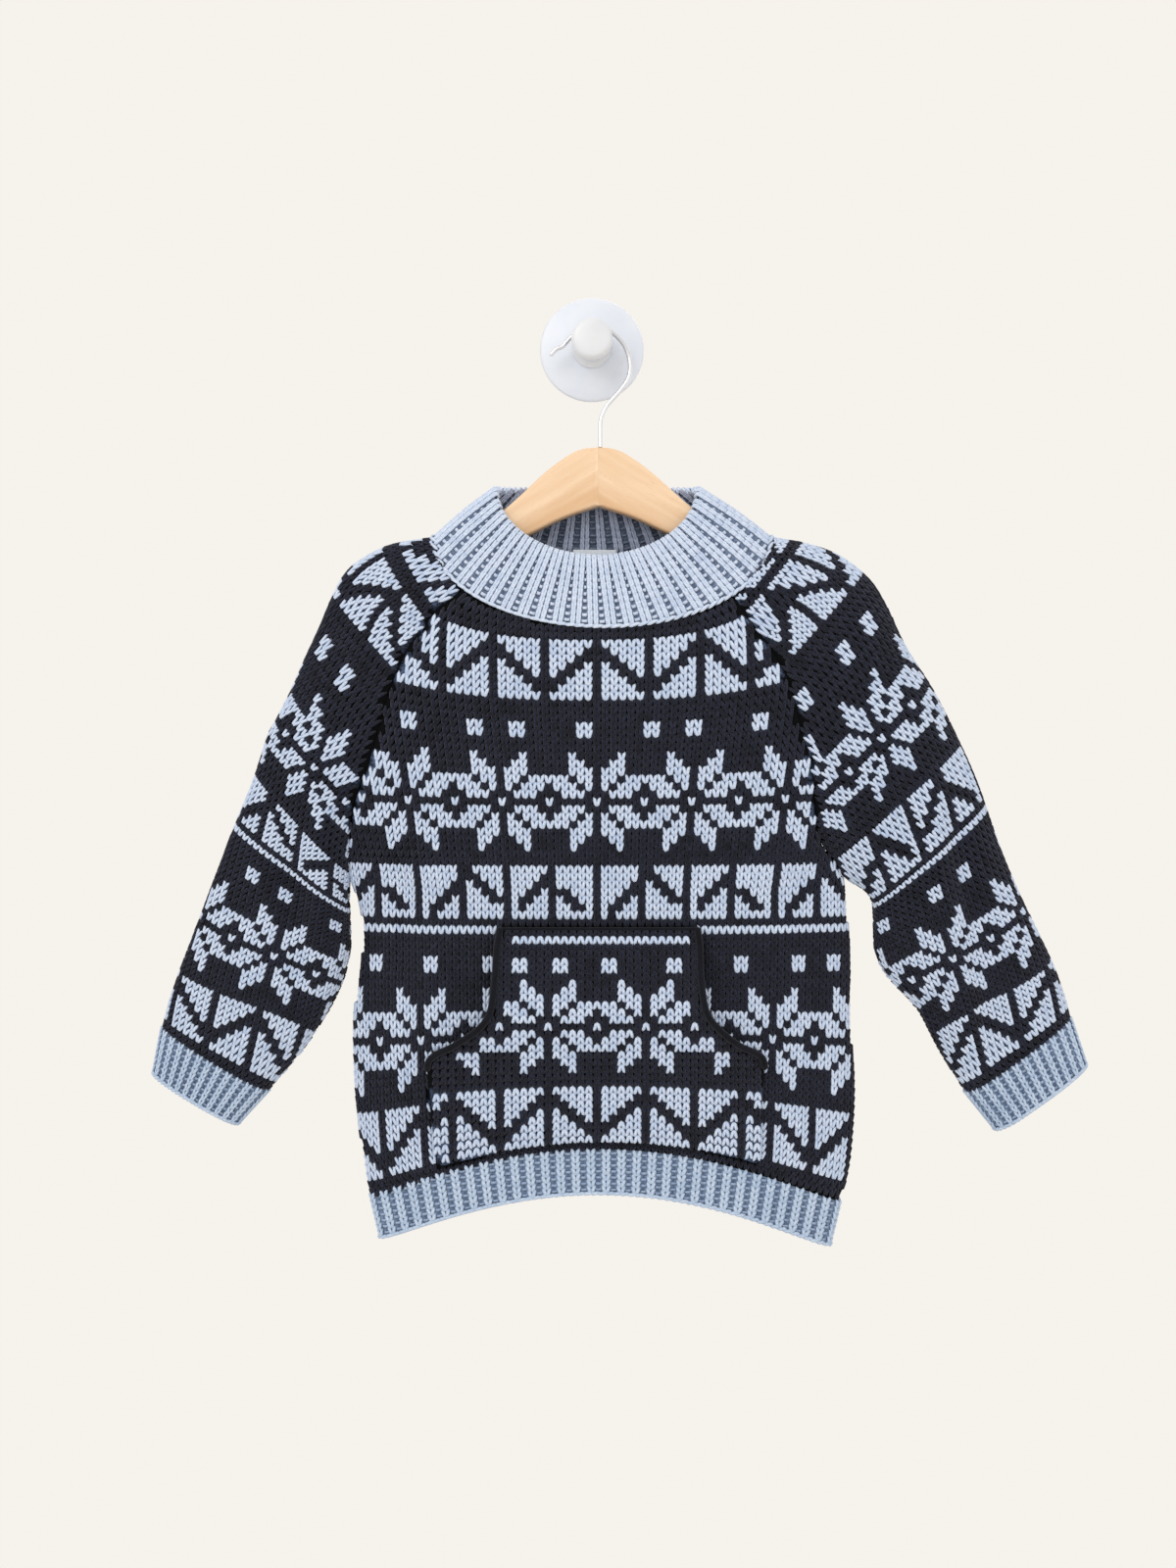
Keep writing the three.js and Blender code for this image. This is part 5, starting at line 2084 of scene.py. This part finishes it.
def tube(name: str, route: Array, radius: float, sides: int) -> Piece:
    """Builds a closed tube with round ends along a line of points.

    Args:
        name: Name of the piece.
        route: The line.
        radius: Radius of the tube.
        sides: Sides of the tube.

    Returns:
        The piece.
    """
    along = np.gradient(route, axis=0)
    along /= np.linalg.norm(along, axis=1, keepdims=True)
    angles = 2 * np.pi * np.arange(sides) / sides
    rings = []
    side = np.cross(along[0], [0.0, 1.0, 0.0])
    for place, way in zip(route, along):
        side = side - way * np.dot(side, way)
        side /= np.linalg.norm(side)
        other = np.cross(way, side)
        rings.append(place + radius * (np.cos(angles)[:, None] * side
                                       + np.sin(angles)[:, None] * other))
    reach = radius * TUBE_END
    return skin(name, rings, route[0] - along[0] * reach, route[-1] + along[-1] * reach)


@dataclass
class NeckLabel:
    """The blank strip of tape inside the back neck."""

    wardrobe: Wardrobe
    down: tuple = (0.12, 0.6)
    across: float = 0.145
    thick: float = 0.6
    steps: tuple = (6, 14)
    upper_edge: float = 5.0
    lean: float = 2.2
    width: float = 0.033
    height: float = 0.012

    def build(self) -> None:
        """Builds and dresses the label."""
        rows, columns = self.steps
        places = spread_grid(np.linspace(*self.down, rows),
                             np.linspace(-self.across, self.across, columns))
        grid = BodyForm().point(*places, Side.BACK)
        grid[..., 1] -= WALL + SEAM_GAP + self.thick
        lip = np.linspace(1, 0, rows)[:, None] ** 2
        grid[..., 2] += self.upper_edge * lip
        grid[..., 1] -= self.lean * lip
        cloth = cloth_shell("neck_label_tape", grid, 1, self.thick)
        finish_piece(cloth.piece, self.wardrobe.tape)
        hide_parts("neck_label")
        cut = CutSize(self.width, self.height, self.width * self.height)
        SHEETS.append((cloth.piece, cut, [], ["back_panel_cloth"]))


# Wooden hanger: half of its outline, as distance from its middle and height.
HANGER_SLOPE = 31.0
HANGER_X, HANGER_Y, HANGER_THICK, HANGER_TILT, HANGER_JOINT = 4.0, -17.6, 11.0, 0.5, 0.02
HANGER_TOP = [(0, -72.5), (10, -73.3), (20, -77.5), (36, -89), (53, -104.5), (66, -115.5),
              (84, -128), (98, -137.2), (109, -143), (120, -146.8), (133, -149.6), (146, -153.8)]
HANGER_TIP = [(151.5, -158), (152, -162.5), (148, -165.5)]
HANGER_UNDER = [(120, -158.5), (85, -147.5), (53, -134.5), (25, -121), (0, -112.5)]
WIRE_POINTS = [(-28.3, -8), (-24.6, -4.2), (-20.2, -2.2), (-15.2, 3.2), (-7.5, 9.0), (2, 11.4),
               (12.5, 8.0), (21.6, -0.6), (26, -12.4), (25.2, -23.4), (18.9, -33.2),
               (10.2, -43.2), (6.2, -52.4), (5.8, -62), (5.8, -71.6)]


@dataclass
class Hanger:
    """The wooden hanger in two arms, and its wire hook."""

    wardrobe: Wardrobe
    wire_radius: float = 1.5
    wire_sides: int = 14
    wire_y: float = -18.0
    bevel: float = 2.2
    bevel_steps: int = 4
    curve_steps: int = 6

    def _smooth(self, points: list) -> Array:
        """A smooth line through points.

        Args:
            points: The points.

        Returns:
            The line.
        """
        table = np.array(points, float)
        last = len(table) - 1
        return along_rows(table, np.linspace(0, last, last * self.curve_steps + 1))

    def arm(self, hand: Hand) -> Piece:
        """Builds one arm as rings of its outline, drawn in towards each face.

        Args:
            hand: Left or right.

        Returns:
            The arm.
        """
        edge = self._smooth([*HANGER_TOP, *HANGER_TIP])
        under = self._smooth([HANGER_TIP[-1], *HANGER_UNDER])[1:]
        outline = np.vstack([edge, under])
        sense = -1 if hand is Hand.LEFT else 1
        outline[:, 0] = np.maximum(outline[:, 0], HANGER_JOINT / 2)
        half = HANGER_THICK / 2
        tilt = math.radians(HANGER_TILT)
        points = []
        for turn in np.linspace(-np.pi / 2, np.pi / 2, 2 * self.bevel_steps + 2):
            depth = math.copysign(half - self.bevel, turn) + self.bevel * math.sin(turn)
            ring = self._inset(outline, self.bevel * (1 - math.cos(turn)))
            x = sense * ring[:, 0]
            z = ring[:, 1] - HANGER_TOP[0][1]
            turned_x = x * math.cos(tilt) - z * math.sin(tilt)
            turned_z = x * math.sin(tilt) + z * math.cos(tilt)
            points.append(np.stack([turned_x + HANGER_X, np.full(len(x), HANGER_Y + depth),
                                    turned_z + HANGER_TOP[0][1]], axis=1))
        count = len(outline)
        faces = ring_faces(len(points), count)
        faces.append([(len(points) - 1) * count + j for j in range(count)])
        faces.append(list(reversed(range(count))))
        if hand is Hand.RIGHT:
            faces = [f[::-1] for f in faces]
        return new_object(f"hanger_arm_{hand.value}_wood", np.vstack(points), faces, smooth=False)

    @staticmethod
    def _inset(outline: Array, distance: float) -> Array:
        """Draws an outline in by a distance; its straight joint end stays in place.

        Args:
            outline: The outline.
            distance: The distance.

        Returns:
            The smaller outline.
        """
        way = np.roll(outline, -1, axis=0) - np.roll(outline, 1, axis=0)
        way /= np.maximum(np.linalg.norm(way, axis=1, keepdims=True), TINY)
        moved = outline + np.stack([way[:, 1], -way[:, 0]], axis=1) * distance
        joint = outline[:, 0] <= HANGER_JOINT / 2 + TINY
        moved[joint, 0] = outline[joint, 0]
        return moved

    def build(self) -> None:
        """Builds and dresses the hanger."""
        for hand in Hand:
            arm = self.arm(hand)
            recalculate(arm)
            finish_piece(arm, self.wardrobe.birch[hand])
            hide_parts(f"hanger_arm_{hand.value}")
        line = self._smooth(WIRE_POINTS)
        route = np.stack([line[:, 0], np.full(len(line), self.wire_y), line[:, 1]], axis=1)
        wire = tube("hanger_wire", route, self.wire_radius, self.wire_sides)
        recalculate(wire)
        finish_piece(wire, self.wardrobe.wire)
        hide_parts("hanger_wire_hook")


SHARP_EDGE = math.radians(40)
SAME_PLACE = 1e-7          # points nearer than this, in metres, are one


def recalculate(piece: Piece) -> None:
    """Turns all faces of a closed mesh outwards and shades it smooth up to sharp edges.

    Args:
        piece: The piece.
    """
    shape = bmesh.new()
    shape.from_mesh(piece.data)
    bmesh.ops.remove_doubles(shape, verts=shape.verts, dist=SAME_PLACE)
    bmesh.ops.recalc_face_normals(shape, faces=shape.faces)
    shape.to_mesh(piece.data)
    shape.free()
    piece.data.shade_smooth()
    piece.data.set_sharp_from_angle(angle=SHARP_EDGE)


PLATE_PROFILE = [(0, 0), (36, 0), (36.3, -1.2), (35.6, -3), (33, -4.4), (0, -5)]
KNOB_PROFILE = [(0, -5.3), (13, -5.3), (10.5, -7.5), (9.5, -10), (9.5, -20.5), (11.5, -22.8),
                (13.6, -25), (14.2, -27.5), (13.4, -30.2), (10.5, -32), (0, -32.8)]


@dataclass
class WallHook:
    """The round plate and its knob."""

    wardrobe: Wardrobe
    sides: int = 96
    knob_steps: int = 41

    def turned(self, name: str, profile: list) -> Piece:
        """Turns a profile of radius and depth about the Y axis.

        Args:
            name: Name of the piece.
            profile: Radius and depth of each point.

        Returns:
            The piece.
        """
        angles = 2 * np.pi * np.arange(self.sides) / self.sides
        rings = [np.stack([r * np.sin(angles), np.full(self.sides, y), r * np.cos(angles)], axis=1)
                 for r, y in profile[1:-1]]
        piece = skin(name, rings, [0, profile[0][1], 0], [0, profile[-1][1], 0])
        recalculate(piece)
        return piece

    def build(self) -> None:
        """Builds and dresses the hook."""
        plate = self.turned("wall_plate", PLATE_PROFILE)
        finish_piece(plate, self.wardrobe.plate)
        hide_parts("wall_hook_plate")
        at = np.linspace(0, len(KNOB_PROFILE) - 1, self.knob_steps)
        knob_line = along_rows(np.array(KNOB_PROFILE, float), at)
        knob_line[0], knob_line[-1] = KNOB_PROFILE[0], KNOB_PROFILE[-1]
        knob_line[:, 0] = np.maximum(knob_line[:, 0], 0)
        knob = self.turned("wall_knob", [tuple(p) for p in knob_line])
        finish_piece(knob, self.wardrobe.knob)
        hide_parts("wall_hook_knob")


@dataclass
class Studio:
    """The camera, the soft lights and the pale floor."""

    camera_place: Colour = (-2.75, -1045.0, -303.3)
    photo_width: float = 1200.0
    focal_pixels: float = 1523.0
    sensor: float = 36.0
    floor_drop: float = -1600.0
    floor_radius: float = 1000.0
    floor_sides: int = 64
    lamp_aim: Colour = (0.0, 0.0, -0.33)

    def build(self) -> None:
        """Sets the whole studio up, the camera first."""
        self.camera()
        self.lights()
        self.floor()

    def camera(self) -> None:
        """Places the camera where the photograph was taken from."""
        data = bpy.data.cameras.new("camera")
        data.sensor_fit = "HORIZONTAL"
        data.sensor_width = self.sensor
        data.lens = self.sensor * self.focal_pixels / self.photo_width
        data.clip_start, data.clip_end = 0.01, 50
        eye = bpy.data.objects.new("camera", data)
        eye.location = Vector(self.camera_place) * MM
        eye.rotation_euler = (math.radians(90), 0, 0)
        show(eye)
        bpy.context.scene.camera = eye

    def lights(self) -> None:
        """Sets three soft lamps and a pale world."""
        self._lamp("key", (-0.9, -1.5, 0.9), 1.3, 13.0)
        self._lamp("fill", (1.3, -1.4, 0.1), 1.6, 3.0)
        self._lamp("back", (0.4, 1.4, 0.6), 1.5, 5.0)
        bpy.context.scene.view_settings.view_transform = "Standard"
        world = bpy.data.worlds.new("pale_room")
        world.use_nodes = True
        ground = world.node_tree.nodes["Background"]
        ground.inputs["Color"].default_value = (*srgb(246, 242, 236), 1)
        ground.inputs["Strength"].default_value = 1.0
        bpy.context.scene.world = world

    def _lamp(self, name: str, place: Colour, size: float, power: float) -> None:
        """Adds one square lamp that looks at the jumper.

        Args:
            name: Name of the lamp.
            place: Its place, in metres.
            size: Side of its square.
            power: Its power in watts.
        """
        data = bpy.data.lights.new(name, "AREA")
        data.size, data.energy = size, power
        lamp = bpy.data.objects.new(name, data)
        lamp.location = place
        aim = Vector(self.lamp_aim) - Vector(place)
        lamp.rotation_euler = aim.to_track_quat("-Z", "Y").to_euler()
        show(lamp)

    def floor(self) -> None:
        """Lays a pale round floor well below the jumper."""
        count = self.floor_sides
        angles = 2 * np.pi * np.arange(count) / count
        ring = np.stack([np.cos(angles), np.sin(angles), np.zeros(count)], 1) * self.floor_radius
        ring[:, 2] = self.floor_drop
        floor = new_object("floor", ring, [list(range(count))], smooth=False)
        book = NodeBook("pale_floor")
        book.colour(book.blend(book.noise(3.0), srgb(224, 220, 214), srgb(229, 226, 221)),
                    srgb(227, 223, 217))
        floor.data.materials.append(book.material)


CUTS = {
    "front": CutSize(0.40, 0.44, 0.150),
    "back": CutSize(0.40, 0.46, 0.157),
    "sleeve": CutSize(0.24, 0.42, 0.080),
    "collar": CutSize(0.42, 0.048, 0.0195),
    "hem": CutSize(0.66, 0.031, 0.0203),
    "cuff": CutSize(0.165, 0.032, 0.0052),
    "pocket": CutSize(0.235, 0.155, 0.0290),
}


def main() -> None:
    """Builds the jumper, its hanger and hook, and logs every sheet of cloth."""
    logging.basicConfig(level=logging.INFO, format="%(name)s: %(message)s")
    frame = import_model()
    LOG.info("the frame has %d nodes", len(frame["nodes"]))
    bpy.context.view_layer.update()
    Studio().build()
    wardrobe = Wardrobe()
    maker = StitchMaker()
    Hanger(wardrobe).build()
    WallHook(wardrobe).build()
    front = BodyPanel(Side.FRONT, maker, wardrobe, CUTS["front"]).build()
    BodyPanel(Side.BACK, maker, wardrobe, CUTS["back"]).build()
    for hand in Hand:
        Sleeve(hand, maker, wardrobe, CUTS["sleeve"]).build()
        outward = -1 if hand is Hand.LEFT else 1
        RibbedBand(f"cuff_{hand.value}", cuff_grid(hand), CUFF_RIBS, outward, maker, wardrobe,
                   CUTS["cuff"],
                   ).build((f"cuff_rib_{hand.value}",), [f"sleeve_{hand.value}_cloth"])
    RibbedBand("collar", collar_grid(), COLLAR_RIBS, 1, maker, wardrobe, CUTS["collar"],
               column_width=3.8, inside=True, chain_row=COLLAR_STEPS - 1.3, chain_room=3.6,
               single=False,
               ).build(("collar_rib",), ["front_panel_cloth", "back_panel_cloth"])
    RibbedBand("hem", hem_grid(), HEM_RIBS, 1, maker, wardrobe,
               CUTS["hem"],
               ).build(("hem_rib_front", "hem_rib_back"), ["front_panel_cloth", "back_panel_cloth"])
    Pocket(maker, wardrobe, front, CUTS["pocket"]).build()
    NeckLabel(wardrobe).build()
    maker.clear()
    for piece, cut, stitches, rests_on in SHEETS:
        LOG.info("declared %s", piece.name)


if __name__ == "__main__":
    main()
